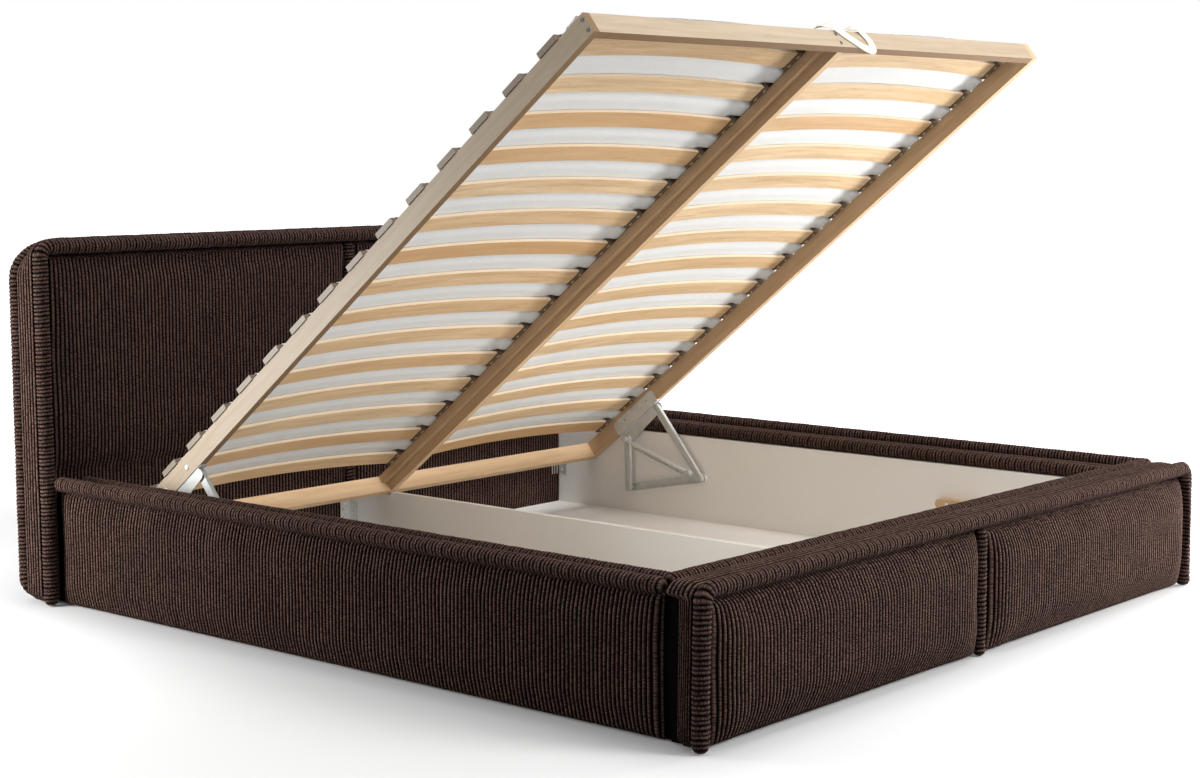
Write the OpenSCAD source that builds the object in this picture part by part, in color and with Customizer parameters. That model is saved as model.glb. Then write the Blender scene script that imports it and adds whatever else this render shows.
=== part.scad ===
// Upholstered storage bed: a corduroy headboard, side rails and footboard round a box,
// with a lifting slatted frame on a pair of folding lift mechanisms, shown raised.
// X runs across the bed, Y from the foot to the head and Z up.
// The origin is on the floor under the middle of the bed.

/* [Slatted frame] */
// Width of the slatted frame
frame_w = 1796; // [1396:1:1996]
// Length of the slatted frame
frame_l = 1990; // [1890:1:2090]
// Height of the frame's rails
rail_h = 50; // [44:1:60]
// Thickness of the frame's rails
rail_t = 20; // [16:1:24]
// Width of the strips on each side of the centre rail
centre_strip_w = 20; // [12:1:26]
// Height of the strips on each side of the centre rail
centre_strip_h = 24; // [16:1:30]
// Number of slats in each column
slat_count = 15; // [10:1:16]
// Distance from one slat to the next
slat_pitch = 125.5; // [110:0.5:130]
// Distance of the first slat's middle from the foot end
slat_start = 117; // [80:1:120]
// Width of a slat
slat_w = 53; // [40:1:60]
// Thickness of a slat
slat_t = 8; // [6:0.5:10]
// Height of a slat's bow in the middle
slat_bow = 18; // [8:1:26]
// Depth that a slat's tongue goes into its holder
slat_seat = 24; // [16:1:28]
// Length of a slat holder along the rail
holder_l = 62; // [58:1:70]
// Height of a slat holder
holder_h = 14; // [12:1:16]
// Width of a side slat holder
holder_w = 38; // [34:1:44]
// Overhang of a side slat holder past the outside of its rail
holder_lip = 3; // [0:0.5:4]
// Overhang of a centre slat holder past the centre rail's strips
holder_over = 16; // [10:1:24]
// Play round a slat's tongue in its holder
slat_play = 0.3; // [0.2:0.1:0.5]
// Thickness of the cover sheet
sheet_t = 1.2; // [0.8:0.1:2]
// Width of the pull strap
strap_w = 26; // [20:1:30]
// Thickness of the pull strap
strap_t = 2.5; // [2:0.1:3]

/* [Box] */
// Gap between the slatted frame and the board at each side
side_gap = 7; // [6:0.5:10]
// Gap between the lowered frame and the headboard
head_gap = 8; // [8:0.5:14]
// Gap between the lowered frame and the footboard's inner roll
foot_gap = 4; // [3:0.5:8]
// Thickness of the white inner boards
board_t = 18; // [16:1:22]
// Height of the underside of the box from the floor
ground_gap = 5; // [3:1:8]
// Thickness of the box floor
floor_t = 16; // [12:1:18]
// Height of the centre divider's top edge
divider_top = 181; // [120:1:181]
// Height of the lowered frame's underside
deck_z = 185; // [185:1:200]
// Length of a rest block
rest_l = 152; // [100:1:200]
// Height of a rest block
rest_h = 28; // [20:1:36]
// Reach of a rest block from its board
rest_reach = 24; // [20:1:26]
// Distance of the rest blocks' foot ends from the footboard
rest_from_foot = 440; // [300:5:600]

/* [Upholstery] */
// Diameter of the thick corduroy rolls
roll_d = 38; // [34:1:40]
// Diameter of the rolls between the cushions
seam_roll_d = 30; // [24:1:32]
// Thickness of the headboard and of the footboard between their rolls
panel_t = 68; // [60:1:90]
// Thickness of the headboard's cushion where it goes down into the box
head_pad_t = 12; // [10:0.5:14]
// Height of the side rails' outer rolls, at their middle
side_roll_z = 316; // [300:1:330]
// Height of the side rails' inner rolls, at their middle
inner_roll_z = 300; // [280:1:310]
// Distance from the side rails' inner rolls to their outer rolls
side_roll_gap = 110; // [100:1:130]
// Thickness of the side rails' cushions at their edge
side_pad_edge = 6; // [4:0.5:10]
// Thickness of the side rails' cushions at their crown
side_pad_crown = 18; // [10:1:19]
// Height of the footboard's rolls, at their middle
foot_roll_z = 320; // [310:1:350]
// Thickness of the footboard's cushions at their edge
foot_pad_edge = 8; // [5:0.5:12]
// Thickness of the footboard's cushions at their crown
foot_pad_crown = 33; // [20:1:36]
// Distance that the footboard's end rolls stand out past the side rails' rolls
foot_over = 9; // [5:1:20]
// Distance that the headboard's side rolls stand out past the side rails' rolls
head_over = 19; // [12:1:30]
// Height of the headboard's top rolls, at their middle
head_roll_z = 916; // [800:1:1100]
// Thickness of the headboard's cushions at their crown
head_pad_crown = 30; // [16:1:32]
// Corner radius of the headboard's rolls, at their middle
head_corner_r = 62; // [45:1:90]
// Corner radius of the footboard's outer roll, at its middle
foot_corner_r = 42; // [30:1:60]
// Depth of the step in the footboard's ends, in front of the side rails' cushions
foot_step = 32; // [20:1:40]
// Thickness of the padded band round the headboard
band_t = 32; // [28:1:32]
// Radius of the headboard's back roll where it turns in at the floor
tuck_r = 46; // [30:1:60]

/* [Lift mechanism] */
// Tilt of the raised frame
lift_angle = 38; // [30:1:42]
// Distance that the raised frame's head end has come towards the foot
lift_forward = 157; // [150:1:165]
// Distance that the raised frame's head end has dropped
lift_drop = 10; // [4:1:14]
// Distance of the rear pivot from the frame's head end
rear_pin_at = 164; // [155:1:175]
// Distance of the rear pivot below the frame
rear_pin_below = 28; // [24:1:30]
// Distance of the front pivot from the frame's head end
front_pin_at = 324; // [315:1:335]
// Distance of the front pivot below the frame
front_pin_below = 14.5; // [14.5:0.5:18]
// Distance of the rear link's foot from the middle of the rear pivot's travel
rear_reach = 130; // [125:1:138]
// Distance of the front link's foot from the middle of the front pivot's travel
front_reach = 248.6; // [245:0.1:252]
// Width of the links
link_w = 22; // [18:1:22]
// Depth of the pressed-steel links
link_deep = 11; // [8:1:12]
// Thickness of the steel of the mechanism
steel_t = 2.5; // [2:0.5:3]
// Width of the base bar
base_w = 25; // [22:1:28]
// Depth of the base bar
base_deep = 12; // [10:1:13]
// Diameter of the pivot pins
pin_d = 8; // [6:0.5:9]
// Running clearance of a pin in its hole, on the radius
pin_play = 0.05; // [0.02:0.01:0.1]
// Diameter of the strut's barrel
barrel_d = 14; // [12:1:16]
// Diameter of the strut's rod
rod_d = 8; // [6:0.5:9]
// Length of the strut's rod from its eye
rod_l = 165; // [150:1:175]
// Length of the frame bracket
bracket_l = 200; // [190:1:220]
// Depth of the frame bracket below the rail
bracket_deep = 42; // [40:1:44]

/* [Hidden] */

$fn = 48;
soft = 0.3;
cut = 1;
roll_r = roll_d / 2;
seam_roll_r = seam_roll_d / 2;

// Places across the bed
board_x = frame_w / 2 + side_gap;
inner_roll_x = board_x + roll_r - 2;
side_roll_x = inner_roll_x + side_roll_gap;
core_x0 = board_x + board_t + soft;
core_x1 = side_roll_x - roll_r - 1;
head_roll_x = side_roll_x + head_over;
foot_roll_x = side_roll_x + foot_over;

// Places along the bed
box_l = frame_l + head_gap + foot_gap + roll_d;
foot_in = -box_l / 2;
head_in = box_l / 2;
foot_out = foot_in - panel_t;
foot_roll_y = foot_out - roll_r;
foot_inner_roll_y = foot_in + roll_r;
head_front_roll_y = head_in - roll_r;
head_core_y = head_in + head_pad_t;
head_back_y = head_in + panel_t;
head_back_roll_y = head_back_y + roll_r;

// Heights
floor_top = ground_gap + floor_t;
soft_z = 3;
roll_z = 1;
inner_top = inner_roll_z - roll_r - soft;
foot_top = foot_roll_z - roll_r - soft;
foot_top_z = foot_roll_z + roll_r - 8;
side_top = inner_roll_z - roll_r;
box_top = side_roll_z + roll_r + 4;
head_core_top = head_roll_z + 12 - band_t;
head_core_r = 16;

// Slatted frame, in its own axes: y runs back from the head end, z up from the underside
holder_z = rail_h;
slat_z = holder_z + 3;
centre_w = rail_t + 2 * centre_strip_w;
holder_centre_w = centre_w + 2 * holder_over;
slat_in = holder_centre_w / 2 - slat_seat;
slat_out = frame_w / 2 - holder_w + slat_seat;
arc_in = holder_centre_w / 2 + 4;
arc_out = frame_w / 2 - holder_w - 4;
slat_y = [for (i = [0:slat_count - 1]) -(frame_l - slat_start - i * slat_pitch)];
sheet_z = holder_z + holder_h + soft;

// Where the raised and the lowered frame carry their pivots, as [y, z]
down = [head_in - head_gap, deck_z];
up = down + [-lift_forward, -lift_drop];
function turned(p, a) = [p[0] * cos(a) - p[1] * sin(a), p[0] * sin(a) + p[1] * cos(a)];
function raised(p) = up + turned(p, -lift_angle);
rear_pin = [-rear_pin_at, -rear_pin_below];
front_pin = [-front_pin_at, -front_pin_below];
rear_up = raised(rear_pin);
front_up = raised(front_pin);
rear_down = down + rear_pin;
front_down = down + front_pin;
// A link's foot lies on the line that is as far from its raised pin as from its lowered one
function foot_of(p, q, s) = (p + q) / 2 + turned((q - p) / norm(q - p), 90) * -s;
rear_foot = foot_of(rear_up, rear_down, rear_reach);
front_foot = foot_of(front_up, front_down, front_reach);
strut_arm = [32, 17];
strut_foot = front_foot + strut_arm;
function heading(p, q) = atan2(q[1] - p[1], q[0] - p[0]);
strut_l = norm(rear_up - strut_foot);

// Depths of the mechanism's layers, inwards from the inner board
bracket_d = board_x - frame_w / 2 + 2;
link_d = base_deep + 2;
strut_d = link_d + link_deep + 12;
pin_r = pin_d / 2;
hole_r = pin_r + pin_play;
head_r = 7;
eye_r = 10;
eye_w = 10;
barrel_l = strut_l - 40;
guard_w = 11;
guard_t = 3;
guard_drop = barrel_d / 2 + 3;

fabric = [0.26, 0.19, 0.17];
timber = [0.80, 0.63, 0.42];
chipboard = [0.62, 0.50, 0.36];
laminate = [0.80, 0.78, 0.74];
zinc = [0.72, 0.73, 0.72];
plastic = [0.30, 0.20, 0.12];

// Basic shapes

// Upright slab standing on a plane at z0, with round top corners, between two y planes
module arch_slab(half_w, z0, z1, r, y0, y1) {
    translate([0, y1, 0]) rotate([90, 0, 0]) linear_extrude(y1 - y0) arch(half_w, z0, z1, r);
}

module arch(half_w, z0, z1, r) {
    translate([-half_w, z0]) square([2 * half_w, z1 - r - z0]);
    translate([-half_w + r, z1 - r - cut]) square([2 * (half_w - r), r + cut]);
    for (s = [-1, 1]) translate([s * (half_w - r), z1 - r]) circle(r, $fn = 64);
}

// Straight piece of roll from p along x, y or z, without ends
module roll_x(p, l, r = roll_r) translate(p) rotate([0, 90, 0]) cylinder(h = l, r = r);
module roll_y(p, l, r = roll_r) translate(p) rotate([-90, 0, 0]) cylinder(h = l, r = r);
module roll_up(p, l, r = roll_r) translate(p) cylinder(h = l, r = r);

// Quarter bend of a roll in an upright plane across the bed, about centre p
module roll_bend(p, bend_r, from, r = roll_r) {
    translate(p) rotate([90, 0, 0]) rotate([0, 0, from])
        rotate_extrude(angle = 90) translate([bend_r, 0]) circle(r);
}

module roll_ball(p, r = roll_r) translate(p) sphere(r);

// Roll that goes up one side, across the top and down the other side
module hoop_roll(half_w, y, top, r_corner, bottom) {
    for (s = [-1, 1]) {
        roll_up([s * half_w, y, bottom], top - r_corner - bottom);
        roll_bend([s * (half_w - r_corner), y, top - r_corner], r_corner, s > 0 ? 0 : 90);
    }
    roll_x([-(half_w - r_corner), y, top], 2 * (half_w - r_corner));
}

// Rise of a pad from its edge to its crown, at share s of the soft width
function swell(s) = s >= 1 ? 1 : sqrt(1 - (1 - s) * (1 - s));
// Places of a pad's mesh lines, closer together near both edges
function pad_lines(l, soft_w, n) = concat(
    [for (i = [0:n]) soft_w * (1 - cos(90 * i / n))],
    [for (i = [1:n - 1]) soft_w + (l - 2 * soft_w) * i / n],
    [for (i = [n:-1:0]) l - soft_w * (1 - cos(90 * i / n))]);

// Crowned pad, w wide along x and l high along z, its back on the plane y = 0 and its face
// towards -y. Its face rises from edge to crown within soft_w of its sides, and from
// low_t to crown above the height low_z, where low_z is more than 0. Its back is drawn in.
pad_tuck = 3;
module pad(w, l, edge, crown, soft_w, low_z = 0, low_t = 0) {
    n = 5;
    xs = pad_lines(w, soft_w, n);
    ends = pad_lines(l, soft_w, n);
    zs = low_z == 0 ? ends : concat([for (z = ends) if (z <= soft_w) z],
        [for (i = [0:n]) low_z + soft_w * (1 - cos(90 * i / n))],
        [for (z = ends) if (z > low_z + soft_w + 20) z]);
    nx = len(xs);
    nz = len(zs);
    full = function(z) low_z == 0 ? crown
        : low_t + (crown - low_t) * swell(max(0, min(1, (z - low_z) / soft_w)));
    rise = function(x, z) min(edge, full(z)) + (full(z) - min(edge, full(z)))
        * swell(min(x, w - x) / soft_w) * swell(min(z, l - z) / soft_w)
        * (0.9 + 0.1 * sin(180 * x / w));
    front = [for (z = zs) for (x = xs) [x, -rise(x, z), z]];
    drawn_in = function(a, size) pad_tuck + a * (size - 2 * pad_tuck) / size;
    back = [for (z = zs) for (x = xs) [drawn_in(x, w), 0, drawn_in(z, l)]];
    m = nx * nz;
    face = function(i, j) j * nx + i;
    sheet = [for (j = [0:nz - 2]) for (i = [0:nx - 2])
        each [[face(i, j), face(i, j + 1), face(i + 1, j + 1)],
            [face(i, j), face(i + 1, j + 1), face(i + 1, j)]]];
    rim = concat([for (i = [0:nx - 1]) face(i, 0)], [for (j = [1:nz - 1]) face(nx - 1, j)],
        [for (i = [nx - 2:-1:0]) face(i, nz - 1)], [for (j = [nz - 2:-1:1]) face(0, j)]);
    sides = [for (k = [0:len(rim) - 1]) let (a = rim[k], b = rim[(k + 1) % len(rim)])
        each [[a, b, b + m], [a, b + m, a + m]]];
    under = [for (t = sheet) [t[2] + m, t[1] + m, t[0] + m]];
    polyhedron(concat(front, back), concat(sheet, sides, under));
}

// Headboard

module headboard_core() color(chipboard)
    arch_slab(head_roll_x + 12 - band_t, ground_gap, head_core_top,
        head_core_r, head_core_y, head_back_y);

module headboard_cushion(s) {
    w = head_roll_x - roll_r - seam_roll_r - 2 - 2 * soft;
    l = head_core_top - soft_z - 11;
    x0 = s < 0 ? -(w + seam_roll_r + soft) : seam_roll_r + soft;
    color(fabric) translate([x0, head_core_y - soft, soft_z])
        pad(w, l, head_pad_t - 3, head_pad_crown, 110, box_top - soft_z,
            head_pad_t - 2 * soft);
}
module headboard_cushion_left() headboard_cushion(-1);
module headboard_cushion_right() headboard_cushion(1);

module headboard_centre_roll() color(fabric) {
    roll_up([0, head_core_y - head_pad_t / 2, soft_z], box_top - soft_z + cut,
        head_pad_t / 2 - 2 * soft);
    roll_up([0, head_core_y - seam_roll_r - soft, box_top],
        head_roll_z - roll_r - box_top - 3, seam_roll_r);
}

module headboard_front_roll() color(fabric)
    hoop_roll(head_roll_x, head_front_roll_y, head_roll_z, head_corner_r, roll_z);

module headboard_band() color(fabric) difference() {
    arch_slab(head_roll_x + 12, soft_z, head_roll_z + 12, head_corner_r + 12,
        head_in + soft, head_back_y - soft);
    arch_slab(head_roll_x + 12 - band_t + soft, soft_z - cut, head_core_top + soft,
        head_core_r + soft, head_in, head_back_y);
}

module headboard_back_roll() color(fabric) {
    y = head_back_roll_y;
    low = roll_z + roll_r;
    hoop_roll(head_roll_x, y, head_roll_z, head_corner_r, low + tuck_r);
    for (s = [-1, 1])
        roll_bend([s * (head_roll_x - tuck_r), y, low + tuck_r], tuck_r, s > 0 ? 270 : 180);
}

module headboard_back_cover() color(fabric) {
    y0 = head_back_y + soft;
    y1 = head_back_y + 12;
    low = roll_z + roll_r + tuck_r;
    arch_slab(head_roll_x - roll_r - soft, low, head_roll_z - roll_r - soft,
        head_corner_r - roll_r, y0, y1);
    translate([-(head_roll_x - tuck_r - 3), y0, roll_d + 4])
        cube([2 * (head_roll_x - tuck_r - 3), y1 - y0, low - roll_d]);
}

// Footboard

module footboard_core() color(chipboard)
    arch_slab(foot_roll_x - roll_r, ground_gap, foot_top, foot_corner_r - roll_r,
        foot_out, foot_in);

module footboard_cushion(s) {
    w = foot_roll_x - roll_r - seam_roll_r - 2 * soft - 4;
    l = foot_top - soft_z - 6;
    x0 = s < 0 ? -(w + seam_roll_r + soft) : seam_roll_r + soft;
    color(fabric) translate([x0, foot_out - soft, soft_z])
        pad(w, l, foot_pad_edge, foot_pad_crown, 80);
}
module footboard_cushion_left() footboard_cushion(-1);
module footboard_cushion_right() footboard_cushion(1);

module footboard_centre_roll() color(fabric)
    roll_up([0, foot_out - seam_roll_r - soft, roll_z], foot_top - roll_z - 3, seam_roll_r);

module footboard_outer_roll() color(fabric)
    hoop_roll(foot_roll_x, foot_roll_y, foot_roll_z, foot_corner_r, roll_z);

// Covers the top and the ends; each end steps back in front of the side rail's cushion
module footboard_band() color(fabric) difference() {
    arch_slab(foot_roll_x + 12, soft_z, foot_top_z + 1, foot_corner_r + 12,
        foot_out + soft, foot_in - soft);
    arch_slab(foot_roll_x - roll_r + soft, soft_z - cut, foot_top + soft,
        foot_corner_r - roll_r + soft, foot_out, foot_in);
    for (s = [-1, 1]) side(s) translate([foot_roll_x - roll_r + 6, foot_in - foot_step, -cut])
        cube([roll_d, foot_step, foot_top_z + roll_d]);
}

module footboard_inner_roll() color(fabric) {
    half = side_roll_x - roll_d - 2;
    roll_x([-half, foot_inner_roll_y, foot_roll_z], 2 * half);
    for (s = [-1, 1]) roll_ball([s * half, foot_inner_roll_y, foot_roll_z]);
}

module footboard_inner_board() color(laminate)
    translate([-board_x + soft, foot_in, floor_top])
        cube([2 * (board_x - soft), board_t, foot_top - floor_top]);

// Side rails, drawn on the right and mirrored for the left

module side(s) if (s > 0) children(); else mirror([1, 0, 0]) children();

module side_core(s) color(chipboard) side(s)
    translate([core_x0, foot_in, ground_gap])
        cube([core_x1 - core_x0, head_in - foot_in, side_top - soft - ground_gap]);

module side_cushion(s) color(fabric) side(s) {
    y0 = foot_in + 9;
    w = head_front_roll_y - 7 - y0;
    translate([core_x1 + soft, y0, soft_z]) rotate([0, 0, 90])
        pad(w, side_roll_z - roll_r - soft_z - 2, side_pad_edge, side_pad_crown, 70);
}

module side_outer_roll(s) color(fabric) side(s) {
    y0 = foot_in + roll_r + 9;
    y1 = head_front_roll_y - roll_r - 16;
    roll_y([side_roll_x, y0, side_roll_z], y1 - y0);
    for (y = [y0, y1]) roll_ball([side_roll_x, y, side_roll_z]);
}

module side_band(s) color(fabric) side(s) {
    x0 = inner_roll_x + roll_r + soft;
    x1 = side_roll_x - roll_r - soft;
    step_z = side_roll_z - roll_r - 1;
    y0 = foot_in + roll_d + soft;
    y1 = head_in - soft;
    translate([0, y1, 0]) rotate([90, 0, 0]) linear_extrude(y1 - y0)
        polygon([[x0, side_top], [core_x1, side_top], [core_x1, step_z], [x1, step_z],
            [x1, side_roll_z + 6],
            [(x0 + x1) / 2, (inner_roll_z + side_roll_z) / 2 + 10], [x0, inner_roll_z + 6]]);
}

module side_inner_roll(s) color(fabric) side(s) {
    y0 = foot_in + roll_d + roll_r + soft;
    y1 = head_in - soft;
    roll_y([inner_roll_x, y0, inner_roll_z], y1 - y0);
    roll_ball([inner_roll_x, y0, inner_roll_z]);
}

module inner_board(s) color(laminate) side(s)
    translate([board_x, foot_in, ground_gap])
        cube([board_t, head_in - foot_in, inner_top - ground_gap]);

module left_side_core() side_core(-1);
module right_side_core() side_core(1);
module left_side_cushion() side_cushion(-1);
module right_side_cushion() side_cushion(1);
module left_side_outer_roll() side_outer_roll(-1);
module right_side_outer_roll() side_outer_roll(1);
module left_side_band() side_band(-1);
module right_side_band() side_band(1);
module left_side_inner_roll() side_inner_roll(-1);
module right_side_inner_roll() side_inner_roll(1);
module left_inner_board() inner_board(-1);
module right_inner_board() inner_board(1);

// Box

// Its top steps down at the head end, where the raised frame's head rail passes
module centre_divider() color(laminate) translate([-board_t / 2, foot_in + board_t, floor_top]) {
    cube([board_t, box_l - board_t, up[1] - 2 - floor_top]);
    cube([board_t, up[0] - 10 - foot_in - board_t, divider_top - floor_top]);
}

module floor_panel(s) color(laminate) side(s)
    translate([0, foot_in, ground_gap]) cube([board_x, box_l, floor_t]);
module floor_panel_left() floor_panel(-1);
module floor_panel_right() floor_panel(1);

// Perforated angle plate in a corner: one leg runs towards -x, the other towards -y
plate_leg = 36;
plate_h = 72;
plate_t = 2;
plate_holes = [[12, 12], [24, 24], [12, 36], [24, 48], [12, 60]];
module angle_plate() {
    difference() {
        translate([-plate_leg, -plate_t, 0]) cube([plate_leg, plate_t, plate_h]);
        for (h = plate_holes) translate([-h[0] - 3, cut, h[1]]) rotate([90, 0, 0])
            cylinder(h = plate_t + 2 * cut, d = 5, $fn = 24);
    }
    difference() {
        translate([-plate_t, -plate_leg, 0]) cube([plate_t, plate_leg - plate_t, plate_h]);
        for (h = plate_holes) translate([-plate_t - cut, -h[0] - 3, h[1]]) rotate([0, 90, 0])
            cylinder(h = plate_t + 2 * cut, d = 5, $fn = 24);
    }
}
plate_y = head_in;
divider_plate_z = 68;
side_plate_z = 112;
module connector_plates() color(zinc) {
    translate([-board_t / 2, plate_y, divider_plate_z]) angle_plate();
    for (s = [-1, 1]) side(s) translate([board_x, plate_y, side_plate_z]) angle_plate();
}

// Beech block with round ends that carries the lowered frame
module rest_blocks() color(timber) for (s = [-1, 1]) side(s)
    translate([board_x - rest_reach, 0, deck_z - soft - rest_h / 2]) {
        y0 = foot_in + rest_from_foot + rest_h / 2;
        y1 = y0 + rest_l - rest_h;
        translate([0, y0, -rest_h / 2]) cube([rest_reach, y1 - y0, rest_h]);
        for (y = [y0, y1]) translate([0, y, 0]) rotate([0, 90, 0])
            cylinder(h = rest_reach, d = rest_h);
    }

glide_d = 40;
module base_glides() color(plastic) {
    side_x = (core_x0 + core_x1) / 2;
    for (s = [-1, 1]) for (k = [0:3]) {
        y = foot_in + 120 + k * (box_l - 240) / 3;
        for (x = [side_x, board_x / 2]) translate([s * x, y, 0])
            cylinder(h = ground_gap, d = glide_d);
    }
    for (s = [-1, 1]) for (y = [(foot_out + foot_in) / 2, (head_core_y + head_back_y) / 2])
        translate([s * side_x, y, 0]) cylinder(h = ground_gap, d = glide_d);
}

// Screws that hold the plates, the rest blocks and the base bars to the boards
module screw_head(r = 4) cylinder(h = 2, r1 = r, r2 = r - 1.5);
module box_screws() color(zinc) {
    for (s = [-1, 1]) side(s) {
        for (y = [rest_l * 0.25, rest_l * 0.75])
            translate([board_x - rest_reach, foot_in + rest_from_foot + y,
                deck_z - soft - rest_h / 2]) rotate([0, -90, 0]) screw_head(5);
        for (t = [0.2, 0.5, 0.8]) {
            p = rear_foot + (front_foot - rear_foot) * t;
            translate([board_x - steel_t, p[0], p[1]]) rotate([0, -90, 0]) screw_head();
        }
    }
    for (i = [0, 2, 4]) {
        h = plate_holes[i];
        translate([-board_t / 2 - h[0] - 3, plate_y - plate_t, divider_plate_z + h[1]])
            rotate([90, 0, 0]) screw_head();
        for (s = [-1, 1]) side(s)
            translate([board_x - plate_t, plate_y - h[0] - 3, side_plate_z + h[1]])
                rotate([0, -90, 0]) screw_head();
    }
}

// Slatted frame

module on_frame() translate([0, up[0], up[1]]) rotate([-lift_angle, 0, 0]) children();

bolt_at = [rear_pin_at + 26, front_pin_at - 24];
bolt_z = 22;
bolt_r = 3;
screw_r = 2;
screw_z = [12, 38];
centre_screw_x = -8;
play = 0.1;

module screw_holes(y) for (z = screw_z) translate([-cut, y, z]) rotate([0, 90, 0])
    cylinder(h = rail_t + 2 * cut, r = screw_r + play, $fn = 24);

module frame_side_rail(s) color(timber) on_frame() side(s)
    translate([frame_w / 2 - rail_t, 0, 0]) difference() {
        translate([0, -frame_l, 0]) cube([rail_t, frame_l, rail_h]);
        for (a = bolt_at) translate([-cut, -a, bolt_z]) rotate([0, 90, 0])
            cylinder(h = rail_t + 2 * cut, r = bolt_r + play);
        screw_holes(-rail_t / 2);
        screw_holes(-frame_l + rail_t / 2);
    }
module frame_rail_left() frame_side_rail(-1);
module frame_rail_right() frame_side_rail(1);

module frame_cross_rail(y) color(timber) on_frame() difference() {
    translate([-frame_w / 2 + rail_t, y, 0]) cube([frame_w - 2 * rail_t, rail_t, rail_h]);
    for (z = screw_z) translate([centre_screw_x, y - cut, z]) rotate([-90, 0, 0])
        cylinder(h = rail_t + 2 * cut, r = screw_r + play, $fn = 24);
}
module frame_rail_head() frame_cross_rail(-rail_t);
module frame_rail_foot() frame_cross_rail(-frame_l);

// Centre rail with a strip along the top of each face, which makes a T
module frame_rail_centre() color(timber) on_frame() {
    l = frame_l - 2 * rail_t;
    translate([-rail_t / 2, -rail_t - l, 0]) cube([rail_t, l, rail_h - centre_strip_h]);
    translate([-centre_w / 2, -rail_t - l, rail_h - centre_strip_h])
        cube([centre_w, l, centre_strip_h]);
}

// Height of the slat's bow at share t of its length
function bow(t) = slat_bow * 4 * t * (1 - t);
arc_steps = 16;
function arc_line(z) = [for (i = [0:arc_steps])
    [arc_in + (arc_out - arc_in) * i / arc_steps, z + bow(i / arc_steps)]];
function backwards(list) = [for (i = [len(list) - 1:-1:0]) list[i]];

module slat_profile() polygon(concat(
    [[slat_in, slat_z]], arc_line(slat_z), [[slat_out, slat_z]],
    [[slat_out, slat_z + slat_t]], backwards(arc_line(slat_z + slat_t)),
    [[slat_in, slat_z + slat_t]]));

module slats(s) color(timber) on_frame() side(s) for (y = slat_y)
    translate([0, y + slat_w / 2, 0]) rotate([90, 0, 0]) linear_extrude(slat_w)
        slat_profile();
module slats_left() slats(-1);
module slats_right() slats(1);

// Plastic cap on a rail's top edge, with a pocket for a slat's tongue
module holder(w, pockets) difference() {
    translate([0, -holder_l / 2, holder_z]) cube([w, holder_l, holder_h]);
    for (x = pockets) translate([x, -slat_w / 2 - slat_play, slat_z - slat_play])
        cube([slat_seat + 2, slat_w + 2 * slat_play, slat_t + 2 * slat_play]);
}
module slat_holders() color(plastic) on_frame() for (y = slat_y) {
    for (s = [-1, 1]) side(s) translate([frame_w / 2 - holder_w, y, 0])
        holder(holder_w + holder_lip, [-1]);
    translate([-holder_centre_w / 2, y, 0])
        holder(holder_centre_w, [-1, holder_centre_w - slat_seat - 1]);
}

// Thin sheet over the slats, from the foot rail to the last slat
sheet_edge = frame_w / 2 - 16;
function sheet_line(z) = concat(
    [for (p = backwards(arc_line(z))) [-p[0], p[1]]], arc_line(z));
module slat_cover_sheet() color("white") on_frame() {
    y1 = slat_y[slat_count - 1] + slat_w / 2;
    z = sheet_z;
    translate([0, y1, 0]) rotate([90, 0, 0]) linear_extrude(frame_l - rail_t - 8 + y1)
        polygon(concat([[-sheet_edge, z]], sheet_line(z), [[sheet_edge, z]],
            [[sheet_edge, z + sheet_t]], backwards(sheet_line(z + sheet_t)),
            [[-sheet_edge, z + sheet_t]]));
}

// Webbing loop to pull the frame by. Each point is [across, out from the foot face, up],
// followed by the way that the webbing's width runs there.
strap_path = [
    [[-98, -14, 1.4], [0, 1, 0]], [[-86, -14, 1.8], [0, 1, 0]],
    [[-76, -14, 6], [0, 1, 0]], [[-62, -14, 13], [0, 1, 0]],
    [[-44, -12, 17], [0, 0.94, -0.34]], [[-28, -7.4, 16.6], [0, 0.71, -0.71]],
    [[-12, 0.2, 13.4], [0, 0.37, -0.93]], [[4, 2.3, 5.4], [-0.5, 0, -0.87]],
    [[24, 1.7, -12], [-0.57, 0, -0.82]], [[46, 1.7, -29], [-0.6, 0, -0.8]],
    [[66, 1.7, -44], [-0.5, 0, -0.87]], [[84, 1.7, -54], [-0.35, 0, -0.94]],
    [[101, 1.7, -56], [0.2, 0, -1]], [[113, 1.7, -46], [0.87, 0, -0.5]],
    [[117, 1.7, -30], [1, 0, 0]], [[112, 1.7, -14], [0.94, 0, 0.35]],
    [[102, 2.3, 3.6], [0.76, 0, 0.65]], [[88, 0.2, 11.8], [0.4, -0.35, 0.85]],
    [[76, -9, 14], [0.15, -0.77, 0.64]], [[66, -13, 10], [0, -1, 0.15]],
    [[57, -14, 4.5], [0, -1, 0]], [[48, -14, 1.8], [0, -1, 0]],
    [[38, -14, 1.4], [0, -1, 0]]];
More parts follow.
